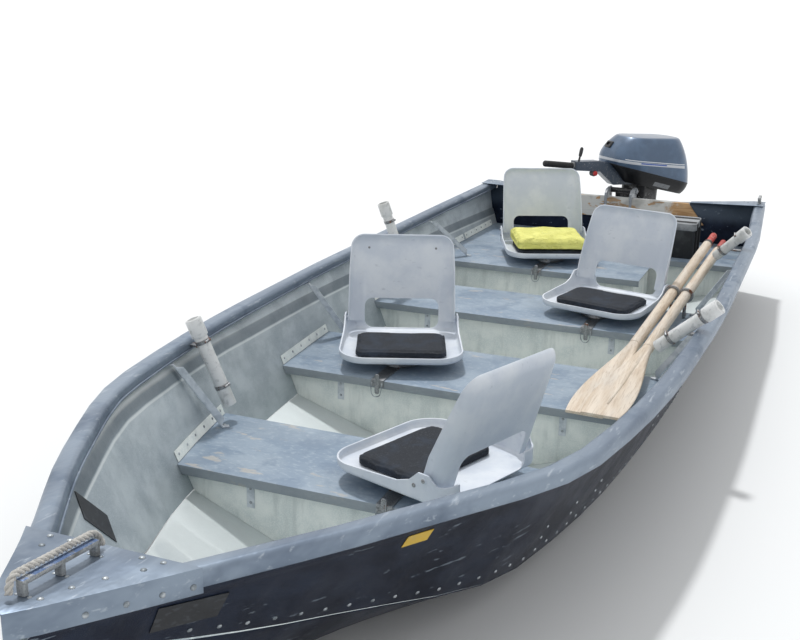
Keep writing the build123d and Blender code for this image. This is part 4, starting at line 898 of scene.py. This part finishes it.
def turned(name, low, top, profile, material, body="hull", sides=32):
    """A turned form on the line from low to top: pairs of distance along it and radius, in metres."""
    low, top = Vector(low), Vector(top)
    along = (top - low).normalized()
    across = along.orthogonal().normalized()
    other = along.cross(across)
    rings = [ring(low + along * distance, across * radius, other * radius, sides) for distance, radius in profile]
    return fitted(strand_mesh(name, [rings]), material, body, 38)


band_steel = band_finish("band_steel", 0.52)
dressed("tube_clamps", band_steel, soften=0.0004)
for number, line in enumerate(TUBE_LINES, start=1):
    low, top = (boat_place(*end) for end in line)
    along = (top - low).normalized()
    inward = Vector((0.35, -1 if low.y > 0 else 1, 0.25))
    inward = (inward - along * inward.dot(along)).normalized()
    half = along.cross(inward) * 0.011
    for level, share in (("low", 0.2), ("high", 0.72)):
        place = low + (top - low) * share + along * 0.006 + inward * 0.0262
        turned(f"clamp_screw_{number}_{level}", place - half, place + half, SCREW_PROFILE, band_steel,
               sides=12)

# Battery box
# A moulded black box on the stern deck with a paler lid, held down by two webbing straps.
LID_EDGE = 0.3652
STRAP_SIZE = (0.030, 0.2880, 0.1755)


def box_finish():
    """Moulded plastic, black below and grey on the lid, with a fine grain."""
    material, place = new_finish("box_finish")
    grain = patches(place, 700, 2, 0.4, 0.6)
    dust = patches(place, 16, 3, 0.42, 0.66)
    lid_colour = layered((150, 154, 158), (dust, (120, 124, 128)))
    colour = layered((34, 36, 39), (dust * 0.4, (84, 86, 88)), (place.axis(2) > LID_EDGE, lid_colour))
    return painted(material, place, Base_Color=colour, Roughness=0.5 + grain * 0.12, height=grain, depth=0.0002)


def threads(place, direction, scale):
    """The fine ribs of a weave, across one direction."""
    kind = {"wave_type": "BANDS", "bands_direction": direction}
    return place.node("TexWave", kind, {"Vector": place, "Scale": scale}, "Fac")


def webbing_finish():
    """Black woven webbing."""
    material, place = new_finish("webbing_finish", Roughness=0.85)
    weave = threads(place, "DIAGONAL", 190)
    return painted(material, place, Base_Color=layered((22, 23, 25), (weave, (44, 45, 48))), height=weave, depth=0.0005)


dressed("battery_box", box_finish(), soften=0.005)
webbing = webbing_finish()
for number, x in enumerate((0.318, 0.422), start=1):
    strap = block(f"box_strap_{number}", boat_place(x, 0.325, 0.3130), STRAP_SIZE)
    choose(strap, "EDGE", lambda a, b: abs(a.x - b.x) > 0.02 and a.z > 0)
    bpy.ops.mesh.bevel(offset=0.012, segments=4)
    close_mesh()
    settle()
    fitted(strap, webbing, angle=35)

# Seat shells
# Moulded grey plastic boat seats: a shallow pan with a rolled rim, and a back with side wings that folds forward on
# two pins. The backs have a wide slot low down. They are dulled by the sun and lightly scuffed.
SEATS = [
    (3.258, 0.112, 0.200, -110), (2.426, -0.279, 0.200, 22), (1.530, 0.232, 0.200, -13), (0.785, -0.178, 0.225, 25),
]
BACK_LEAN = radians(16.5)
HINGE_X, HINGE_Z = -0.200, 0.105


def seat_frame(seat):
    """Turns a place on a seat, with X to its front, into a place on the boat."""
    x, y, z, facing = seat
    return Matrix.Translation(boat_place(x, y, z)) @ Matrix.Rotation(radians(facing), 4, "Z")


def back_place(across, up, forward):
    """A place on a seat's back: across it, up from its hinge pins and forward of them."""
    return Vector((HINGE_X + forward * cos(BACK_LEAN) - up * sin(BACK_LEAN), across,
                   HINGE_Z + forward * sin(BACK_LEAN) + up * cos(BACK_LEAN)))


def shell_finish():
    """Grey moulded plastic with a fine grain, chalky patches and a few darker scuffs."""
    material, place = new_finish("shell_finish")
    chalk = patches(place, 7, 4, 0.38, 0.66)
    scuff = patches(place, 55, 5, 0.62, 0.72, (1, 2.5, 1))
    colour = layered((202, 210, 221), (chalk, (218, 224, 231)), (scuff * 0.35, (168, 177, 189)))
    return painted(material, place, Base_Color=colour, Roughness=0.4 + chalk * 0.12,
                   height=noise(place, 800, 2), depth=0.0002)


shell_grey = shell_finish()
for number in range(1, 5):
    dressed(f"seat_pan_{number}", shell_grey, f"seat_{number}", soften=0.0021, angle=28)
    dressed(f"seat_back_{number}", shell_grey, f"back_{number}", soften=0.0017, angle=28)

# Seat screws
# Zinc-plated screws: two through each cheek of a seat, at the hinge and in front of it, and two high on the second
# seat's back.
CHEEK_SCREWS = ((HINGE_X, 0.2118, HINGE_Z), (-0.168, 0.2100, 0.084))
screw_zinc = band_finish("screw_zinc", 0.6)
for number, seat in enumerate(SEATS, start=1):
    placed = seat_frame(seat)
    heads = []
    for side in SIDES:
        out = placed.to_3x3() @ Vector((0, side, 0))
        heads += [(placed @ Vector((x, side * y, z)), out) for x, y, z in CHEEK_SCREWS]
    rivets(f"seat_screws_{number}", heads, 0.0062, screw_zinc, f"seat_{number}")
placed = seat_frame(SEATS[1])
out = placed.to_3x3() @ Vector((cos(BACK_LEAN), 0, sin(BACK_LEAN)))
heads = [(placed @ back_place(y, 0.262, -0.0405), out) for y in (-0.125, 0.125)]
rivets("back_screws", heads, 0.0045, screw_zinc, "back_2")

# Seat pads
# Closed-cell foam under charcoal vinyl, glued into the pan. The pad is crowned a little, with a sewn edge and a
# carrying slit near the back.
PAD_PLACE = (-0.024, 0.0, 0.0568)
PAD_SIZE = (0.238, 0.326, 0.0185)
PUFF_STEPS = 20


def padding(name, middle, size, corner, cell, pressure, reach):
    """A stuffed block with rounded corners, puffed up by pressure as cloth, whose points move no further than reach."""
    pad = block(name, middle, size)
    choose(pad, "EDGE", lambda a, b: abs(a.z - b.z) > 0.005)
    bpy.ops.mesh.bevel(offset=corner, segments=8)
    close_mesh()
    settle()
    modified(pad, "REMESH", mode="VOXEL", voxel_size=cell)
    before = [vertex.co.copy() for vertex in pad.data.vertices]
    cloth = pad.modifiers.new("Puff", "CLOTH")
    cloth.settings.use_pressure = True
    cloth.settings.uniform_pressure_force = pressure
    cloth.settings.effector_weights.gravity = 0
    cloth.settings.quality = 5
    cloth.point_cache.frame_start = 1
    cloth.point_cache.frame_end = PUFF_STEPS
    for step in range(PUFF_STEPS):
        scene.frame_set(step + 1)
    pick(pad)
    bpy.ops.object.modifier_apply(modifier="Puff")
    scene.frame_set(1)
    floor_z = middle[2] - size[2] / 2
    for vertex, start in zip(pad.data.vertices, before):
        moved = vertex.co - start
        if moved.length > reach:
            vertex.co = start + moved * (reach / moved.length)
        vertex.co.z = max(vertex.co.z, floor_z)
    pick(pad)
    bpy.ops.object.shade_smooth()
    return pad


def share_of(value, full):
    """The value as a share of the full one, kept between 0 and 1."""
    return min(1.0, max(0.0, value / full))


def vinyl_finish():
    """Charcoal vinyl with a fine leather grain, greyed where it is rubbed."""
    material, place = new_finish("vinyl_finish", Specular_IOR_Level=0.25)
    grain = place.node("TexVoronoi", {"feature": "DISTANCE_TO_EDGE"}, {"Vector": place, "Scale": 420})
    rub = patches(place, 13, 4, 0.46, 0.66)
    dust = patches(place, 160, 3, 0.56, 0.7)
    colour = layered((30, 35, 43), (rub, (48, 55, 66)), (dust * 0.25, (92, 97, 104)))
    return painted(material, place, Base_Color=colour, Roughness=0.7 + rub * 0.12, height=grain, depth=0.0006)


charcoal = vinyl_finish()
foam = padding("pad_form", PAD_PLACE, PAD_SIZE, 0.036, 0.005, 3.0, 0.0042)
for vertex in foam.data.vertices:
    if vertex.co.z > PAD_PLACE[2]:
        edge = min(PAD_SIZE[0] / 2 - abs(vertex.co.x - PAD_PLACE[0]), PAD_SIZE[1] / 2 - abs(vertex.co.y))
        vertex.co.z += 0.0014 * share_of(edge, 0.02)
        if abs(edge - 0.013) < 0.0035:
            vertex.co.z -= 0.0018
        if abs(vertex.co.x + 0.118) < 0.008 and abs(vertex.co.y) < 0.038:
            vertex.co.z -= 0.0040
for number, seat in enumerate(SEATS, start=1):
    pad = foam.copy()
    pad.data = foam.data.copy()
    pad.name = f"pad_{number}"
    pad.data.transform(seat_frame(seat))
    scene.collection.objects.link(pad)
    fitted(pad, charcoal, f"seat_{number}")
    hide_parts(f"seat_pad_{number}")
bpy.data.objects.remove(foam)

# Cushion
# A square throw cushion on the seat nearest the stern: yellow coated cloth over soft foam, crumpled, and gathered
# along the seam round its middle.
CUSHION_PLACE = (-0.046, 0.0, 0.0950)
CUSHION_SIZE = (0.310, 0.352, 0.040)


def cushion_finish():
    """Yellow coated cloth, creased and soiled a little, with a fine weave and painted shade in the crease valleys."""
    material, place = new_finish("cushion_finish")
    soil = patches(place, 18, 4, 0.48, 0.68)
    crease = patches(place, 34, 5, 0.44, 0.6, (1, 1.8, 1))
    # Painted shade: the low parts of the creases are darker.
    crease_shade = between(crease, 0.0, 0.35, 1.0, 0.0)
    colour = layered((238, 236, 132), (soil * 0.5, (214, 212, 118)), (crease_shade * 0.3, (176, 176, 66)))
    return painted(material, place, Base_Color=colour, Roughness=0.62 + soil * 0.1,
                   height=crease + threads(place, "X", 380) * 0.05, depth=0.0035)


cushion = padding("cushion_cover", CUSHION_PLACE, CUSHION_SIZE, 0.034, 0.0055, 4.0, 0.011)
half_x, half_y = CUSHION_SIZE[0] / 2, CUSHION_SIZE[1] / 2
for vertex in cushion.data.vertices:
    x, y, z = vertex.co - Vector(CUSHION_PLACE)
    inside = min(half_x - abs(x), half_y - abs(y))
    fold = 0.5 * sin(37 * x + 11 * y + 1.6 * sin(27 * y)) + 0.5 * sin(21 * y - 15 * x + 2.2 * sin(23 * x))
    if z > 0:
        vertex.co.z += 0.0062 * fold * share_of(inside, 0.05) - 0.010 * max(0.0, 1 - inside / 0.035) ** 2
    if abs(z) < 0.012:
        pull = 0.004 * (0.5 + 0.5 * cos(38 * (x + y)))
        vertex.co.x -= pull * x / half_x
        vertex.co.y -= pull * y / half_y
cushion.data.transform(seat_frame(SEATS[3]))
modified(cushion, "SUBSURF", levels=1, render_levels=1)
bpy.ops.object.shade_smooth()
fitted(cushion, cushion_finish(), "seat_4")
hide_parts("cushion")

# Seat bases
# Each seat stands on a plated turntable. A strap under it hooks over the bench and is drawn tight by a lever, and a
# wire bail hangs in front of it.
dressed("seat_bases", screw_zinc, soften=0.0012)
STRAP_ENDS = [(3.493, 0.112, 0.200), (2.634, -0.279, 0.200), (1.737, 0.232, 0.200), (1.000, -0.178, 0.225)]
BAIL_ROUTE = [
    (0.001, 0.019, -0.006), (0.006, 0.020, -0.016), (0.010, 0.018, -0.040), (0.011, 0.010, -0.052),
    (0.011, -0.006, -0.054), (0.011, -0.016, -0.044), (0.007, -0.020, -0.018), (0.001, -0.019, -0.006),
]
for number, (x, y, z) in enumerate(STRAP_ENDS, start=1):
    hook = boat_place(x + 0.006, y, z)
    wire_path = resampled(cord_line([hook + Vector(place) for place in BAIL_ROUTE]), 0.004)[0]
    bail = strand_mesh(f"strap_bail_{number}", [strand_rings(wire_path, 0.0017, 0.0, 0, 1, 8)])
    fitted(bail, rivet_metal)

# Oars
# Two ash oars stowed side by side, grips aft. The grips are painted red with a dark collar, and a spine runs down
# the middle of each blade. Each oar is given by its two ends, and the spine by its reach, width and height.
OARS = [((0.560, 0.560, 0.372), (2.655, 0.437, 0.2034)), ((0.570, 0.608, 0.345), (2.705, 0.496, 0.226))]
SPINE = [
    (-0.02, 0.0150, 0.0175), (0.06, 0.0160, 0.0185), (0.18, 0.0140, 0.0150), (0.30, 0.0115, 0.0105),
    (0.42, 0.0085, 0.0075), (0.53, 0.0050, 0.0052),
]
BLADE_LENGTH = 0.620
RED_END = STERN + 0.692
DARK_END = STERN + 0.722


def wood_finish():
    """Pale varnished ash with long grain, greyed in places, and red paint on the grips."""
    material, place = new_finish("wood_finish")
    grain = patches(place, 46, 5, 0.36, 0.66, (16, 1, 1))
    grey = patches(place, 7, 4, 0.48, 0.68, (3, 1, 1))
    fine = patches(place, 210, 3, 0.5, 0.66, (18, 1, 1))
    chip = patches(place, 70, 4, 0.58, 0.66)
    along = place.axis(0)
    colour = layered(
        (222, 209, 192), (grain, (202, 184, 162)), (grey * 0.5, (198, 194, 188)), (fine * 0.35, (160, 138, 116)),
        ((along < RED_END) * (1 - chip * 0.6), (176, 54, 46)), ((along > RED_END) * (along < DARK_END), (58, 50, 46)),
    )
    return painted(material, place, Base_Color=colour, Roughness=0.42 + grey * 0.25,
                   height=grain + fine * 0.5, depth=0.0005)


ash = wood_finish()
dressed("oars", ash, soften=0.0016)
for number, line in enumerate(OARS, start=1):
    grip, tip = (boat_place(*end) for end in line)
    along = (tip - grip).normalized()
    across = along.cross(Vector((0, 0, 1))).normalized()
    up = across.cross(along)
    start = tip - along * BLADE_LENGTH
    rings = [ring(start + along * reach, across * width, up * height, 16) for reach, width, height in SPINE]
    fitted(strand_mesh(f"blade_spine_{number}", [rings]), ash)

# Oarlocks
# Captive steel rings on the shafts. Their pins stand on the third bench.
dressed("oarlocks", band_finish("lock_steel", 0.56), soften=0.003)

# Motor clamp
# Cast aluminium bracket over the transom with two clamp screws. Its silver paint is chipped and stained.
STEERED = radians(-43)
STEER = boat_place(-0.165, 0, 0)
AHEAD = Vector((cos(STEERED), sin(STEERED), 0))
ABEAM = Vector((-AHEAD.y, AHEAD.x, 0))
NUT_PROFILE = [(0, 0.0150), (0.002, 0.0155), (0.009, 0.0155), (0.011, 0.0130), (0.0112, 0.0070), (0.015, 0.0060)]
HANDLE_PROFILE = [
    (0, 0.0045), (0.001, 0.0065), (0.012, 0.0065), (0.016, 0.0042), (0.056, 0.0042), (0.060, 0.0065), (0.071, 0.0065),
    (0.072, 0.0045),
]


def motor_place(ahead, abeam, z):
    """A place on the steered motor: ahead of its steering axis, to its port side and above the waterline."""
    return STEER + AHEAD * ahead + ABEAM * abeam + Vector((0, 0, z))


def motor_paint(name, colour, worn, chips=0.62):
    """Paint on a casting, with worn patches, small chips and salt stains."""
    material, place = new_finish(name, Coat_Weight=0.15)
    patch = patches(place, 14, 4, 0.46, 0.68)
    chip = patches(place, 120, 4, chips, chips + 0.05)
    salt = patches(place, 36, 5, 0.56, 0.7, (1, 1, 2.5))
    shade = layered(colour, (patch * 0.5, worn), (chip * 0.8, (160, 162, 164)), (salt * 0.2, (168, 170, 170)))
    return painted(material, place, Base_Color=shade, Roughness=0.34 + patch * 0.15 + salt * 0.15,
                   height=noise(place, 300, 2) - chip * 0.6, depth=0.0004)


bracket_silver = motor_paint("bracket_silver", (150, 155, 161), (112, 117, 124), chips=0.6)
motor_black = motor_paint("motor_black_paint", (26, 27, 30), (44, 46, 50))
dressed("motor_clamp", bracket_silver, soften=0.003)
for side, name in SIDES.items():
    turned(f"tilt_nut_{name}", boat_place(-0.045, side * 0.070, 0.448), boat_place(-0.045, side * 0.082, 0.448),
           NUT_PROFILE, bracket_silver, sides=6)
    turned(f"clamp_handle_{name}", boat_place(0.104, side * 0.066, 0.312), boat_place(0.104, side * 0.066, 0.384),
           HANDLE_PROFILE, motor_black, sides=14)

# Swivel bracket
# Cast bracket between the clamp plates. It tilts on the cross pin and carries the upright steering tube.
COLLAR_PROFILE = [(0, 0.0275), (0.001, 0.0295), (0.015, 0.0295), (0.016, 0.0275)]
dressed("swivel_bracket", motor_black, "tilt_bracket", soften=0.003)
turned("steering_collar", (STEER.x, 0, 0.196), (STEER.x, 0, 0.212), COLLAR_PROFILE, motor_black,
       "tilt_bracket")

# Leg and gearcase
# The leg hangs behind the swivel tube. The gearcase below it carries the plate over the propeller and the skeg. They
# are black, with the skeg's edge rubbed bright.


def gearcase_finish():
    """Black paint, dulled by the water, that is worn to bare metal at the foot of the skeg."""
    material, place = new_finish("gearcase_finish", Coat_Weight=0.15)
    scum = patches(place, 20, 4, 0.44, 0.68, (1, 1, 3))
    wear = between(place.axis(2), -0.352, -0.398) + patches(place, 60, 4, 0.6, 0.68) * 0.3
    colour = layered((28, 30, 32), (scum * 0.6, (66, 70, 68)), (wear, (150, 152, 154)))
    return painted(material, place, Base_Color=colour, Roughness=0.36 + scum * 0.25, height=scum, depth=0.0005)


underwater = gearcase_finish()
dressed("leg", motor_black, "motor", soften=0.002)
dressed("gearcase", underwater, "motor", soften=0.0018)
plate_seats = []
for k in range(-2, 3):
    plate_seats += [(motor_place(-0.17 + 0.05 * k, side * 0.055, -0.116), Vector((0, 0, 1))) for side in SIDES]
rivets("plate_screws", plate_seats, 0.0048, motor_black, "motor")

# Propeller
# A three-bladed casting on its hub. It turns behind the gearcase and is painted like it.
dressed("propeller", underwater, "screw", soften=0.0012)

# Lower pan
# Moulded black tray that closes the cowl from below, with a rubber bead along the joint and a blank pale patch on
# its port side. The bead's loop is given by its half-length, its half-width and the radius of its corners.
SEAM_TILT = radians(14.56)
LOOP_LENGTH, LOOP_WIDTH, LOOP_CORNER = 0.2475, 0.152, 0.107
BEAD_RADIUS = 0.0046


def off_axis(place, way):
    """How far a place lies from the steering axis along a level way."""
    return place.node("VectorMath", {"operation": "DOT_PRODUCT"}, {0: place, 1: tuple(way)}, "Value") - STEER.dot(way)


def pan_finish():
    """Black moulding with fine scuffs and one pale rectangle aft on the port side."""
    material, place = new_finish("pan_finish", Specular_IOR_Level=0.25)
    ahead = off_axis(place, AHEAD)
    height = place.axis(2) - 0.5515 - ahead * 0.2598
    patch = (ahead > -0.19) * (ahead < -0.085) * (off_axis(place, ABEAM) > 0) * (height < -0.037) * (height > -0.061)
    scuff = patches(place, 80, 4, 0.54, 0.68)
    pale = layered((136, 139, 143), (scuff, (112, 115, 119)))
    return painted(material, place, Base_Color=layered((24, 25, 28), (scuff * 0.5, (58, 60, 64)), (patch, pale)),
                   Roughness=0.42 + scuff * 0.2, height=noise(place, 500, 2), depth=0.0002)


pan_black = pan_finish()
dressed("lower_pan", pan_black, "motor", soften=0.004)
seam_ahead = AHEAD * cos(SEAM_TILT) + Vector((0, 0, sin(SEAM_TILT)))
seam_middle = motor_place(-0.102, 0, 0.525) - seam_ahead.cross(ABEAM) * 0.001
corners = []
for turn, (side_x, side_y) in enumerate(((1, 1), (-1, 1), (-1, -1), (1, -1))):
    for k in range(9):
        angle = pi / 2 * (turn + k / 8)
        x = side_x * (LOOP_LENGTH - LOOP_CORNER) + LOOP_CORNER * cos(angle)
        y = side_y * (LOOP_WIDTH - LOOP_CORNER) + LOOP_CORNER * sin(angle)
        corners.append(seam_middle + seam_ahead * x + ABEAM * y)
fitted(bead("seam_bead", corners, BEAD_RADIUS, closed=True), pan_black, "motor")

# Powerhead
# The engine, cast in grey alloy. The cowl hides it.
dressed("powerhead", motor_paint("engine_grey", (92, 96, 100), (70, 74, 78)), "motor", soften=0.006)

# Cowl
# Glossy moulded cover in metallic blue-grey, with a silver band, a blue one and a fine white line along each side, a
# black latch at the front and a black hand grip at the rear.
LATCH_SIZE = (0.052, 0.040, 0.014)


def cowl_finish():
    """Metallic blue-grey paint under clear coat, with level bands along the sides."""
    material, place = new_finish("cowl_finish", Coat_Weight=0.35, Coat_Roughness=0.1, Metallic=0.3)
    ahead = off_axis(place, AHEAD)
    level = place.axis(2) - 0.5957 - ahead * 0.1135
    silver = (level > -0.008) * (level < 0.006) * (ahead > -0.262)
    blue = (level > -0.003) * (level < 0.004) * (ahead > -0.135) * (ahead < 0.035)
    white = (level > 0.0105) * (level < 0.0140) * (ahead > -0.262) * (ahead < 0.112)
    grip = (ahead < -0.300) * (level < 0.075) * (level > -0.080)
    haze = patches(place, 9, 3, 0.42, 0.66)
    fleck = patches(place, 900, 1, 0.45, 0.6)
    colour = layered(
        (64, 86, 112), (haze, (76, 99, 126)), (fleck * 0.2, (128, 140, 154)), (silver, (186, 190, 196)),
        (blue, (52, 84, 158)), (white, (220, 223, 226)), (grip, (28, 30, 33)),
    )
    return painted(material, place, Base_Color=colour, Roughness=0.3 + haze * 0.08,
                   height=noise(place, 5, 2), depth=0.001)


dressed("cowl", cowl_finish(), "motor", soften=0.003, angle=40)
latch = block("cowl_latch", (0, 0, 0), LATCH_SIZE)
bpy.ops.mesh.bevel(offset=0.005, segments=3)
choose(latch, "FACE", lambda out, middle: out.z > 0.99 and middle.z > 0.006)
bpy.ops.mesh.inset(thickness=0.006)
bpy.ops.mesh.extrude_region_move(TRANSFORM_OT_translate={"value": (0, 0, -0.008)})
close_mesh()
before_cowl = motor_place(0.40, -0.036, 0.86)
point, out = struck("cowl", before_cowl, motor_place(0.108, -0.036, 0.680) - before_cowl)
latch.matrix_world = stood(point + out * 0.001, out)
settle()
fitted(latch, motor_black, "motor", 35)

# Tiller arm
# Dark blue-grey casting that carries the steering handle, with the red stop button in a black housing below it.
HOUSING_PROFILE = [(0, 0.0140), (0.001, 0.0175), (0.022, 0.0175), (0.026, 0.0150)]
BUTTON_PROFILE = [(0, 0.0060), (0.002, 0.0060), (0.0022, 0.0125), (0.010, 0.0132), (0.0145, 0.0100), (0.015, 0.0050)]
arm_grey = motor_paint("arm_grey", (62, 74, 90), (80, 92, 106))
dressed("tiller_arm", arm_grey, "motor", soften=0.009, angle=20)
stop_red = motor_paint("stop_red", (196, 36, 34), (168, 44, 40), chips=0.7)
for name, inner, outer, profile, paint in (
    ("stop_housing", 0.004, 0.030, HOUSING_PROFILE, motor_black),
    ("stop_button", 0.029, 0.044, BUTTON_PROFILE, stop_red),
):
    turned(name, motor_place(0.240, inner, 0.540), motor_place(0.240, outer, 0.540), profile, paint,
           "motor", sides=24)

# Tiller grip
# Black rubber grip with rings moulded round it, behind a bright collar.
BRIGHT_PROFILE = [(0, 0.0190), (0.001, 0.0205), (0.017, 0.0205), (0.018, 0.0190)]


def grip_finish():
    """Black rubber, dusty in the grooves."""
    material, place = new_finish("grip_finish")
    dust = patches(place, 50, 3, 0.46, 0.68)
    return painted(material, place, Base_Color=layered((24, 25, 27), (dust, (48, 49, 51))), Roughness=0.6 + dust * 0.2,
                   height=noise(place, 600, 2), depth=0.0003)


grip_profile = [(0, 0.0150), (0.002, 0.0168), (0.012, 0.0168)]
for k in range(19):
    start = 0.014 + k * 0.0085
    grip_profile += [(start, 0.0150), (start + 0.0025, 0.0150), (start + 0.0032, 0.0167), (start + 0.0072, 0.0167)]
grip_profile += [(0.1770, 0.0167), (0.1840, 0.0150), (0.1875, 0.0110), (0.1880, 0.0050)]
grip = turned("tiller_grip_ribbed", motor_place(0.358, 0, 0.582), motor_place(0.545, 0, 0.604), grip_profile,
              grip_finish(), "motor")
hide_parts("tiller_grip")
turned("grip_collar", motor_place(0.349, 0, 0.5812), motor_place(0.368, 0, 0.5834), BRIGHT_PROFILE,
       band_finish("bright_collar", 0.66), "motor")

# Shift lever
# A black rod with a rounded knob. It stands at the forward end of the arm and leans aft.
LEVER_PROFILE = [
    (0, 0.0060), (0.030, 0.0052), (0.034, 0.0052), (0.036, 0.0085), (0.062, 0.0100), (0.076, 0.0092), (0.083, 0.0060),
    (0.0845, 0.0025),
]
lever = turned("shift_rod", motor_place(0.342, 0.022, 0.600), motor_place(0.324, 0.022, 0.684), LEVER_PROFILE,
               motor_black, "motor", sides=20)
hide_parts("shift_lever")

# Floor
# A wide pale floor at the waterline, with a hole along the bottom plate so that it doesn't show inside the boat.
# Each pair is the distance from the stern and the half-breadth of the bottom at the waterline.
WATERLINE = [
    (0.080, 0.321), (0.475, 0.3405), (0.950, 0.359), (1.425, 0.370), (1.900, 0.374), (2.328, 0.359), (2.755, 0.328),
    (3.135, 0.277), (3.515, 0.195), (3.800, 0.083), (4.038, 0.003),
]
outline = [boat_place(x, y, 0) for x, y in WATERLINE] + [boat_place(x, -y, 0) for x, y in WATERLINE[::-1]]
floor_mesh = bpy.data.meshes.new("floor")
floor_mesh.from_pydata(outline, [(i, (i + 1) % len(outline)) for i in range(len(outline))], [])
floor = bpy.data.objects.new("floor", floor_mesh)
scene.collection.objects.link(floor)
pick(floor)
open_mesh()
for scales in ((3, 6, 1), (60, 60, 1)):
    bpy.ops.mesh.extrude_edges_move()
    bpy.ops.transform.resize(value=scales, center_override=(0, 0, 0))
close_mesh()
faces_out()
floor_white, place = new_finish("floor_white", Roughness=0.9)
painted(floor_white, place, Base_Color=layered((232, 234, 235), (noise(place, 0.6, 2), (236, 238, 239))))
floor.data.materials.append(floor_white)

# Light
# A soft high key from over the starboard quarter, and an even pale world that metal also shows.
KEY_WAY = Vector((0.42, 0.30, -1.0))
bpy.ops.object.light_add(type="SUN")
key = bpy.context.object
key.rotation_euler = KEY_WAY.to_track_quat("-Z", "Y").to_euler()
key.data.energy = 1.7
key.data.angle = radians(4)
world = bpy.data.worlds.new("studio")
scene.world = world
world.use_nodes = True
sky = Socket(world.node_tree)
rays = [sky.node("LightPath", output=name) for name in ("Is Camera Ray", "Is Glossy Ray", "Is Transmission Ray")]
seen = rays[0].maths("MAXIMUM", rays[0], rays[1].maths("MAXIMUM", rays[1], rays[2]))
sky.fill(world.node_tree.nodes["Background"], {"Color": (1, 1, 1, 1), "Strength": seen * 0.2 + 0.8})
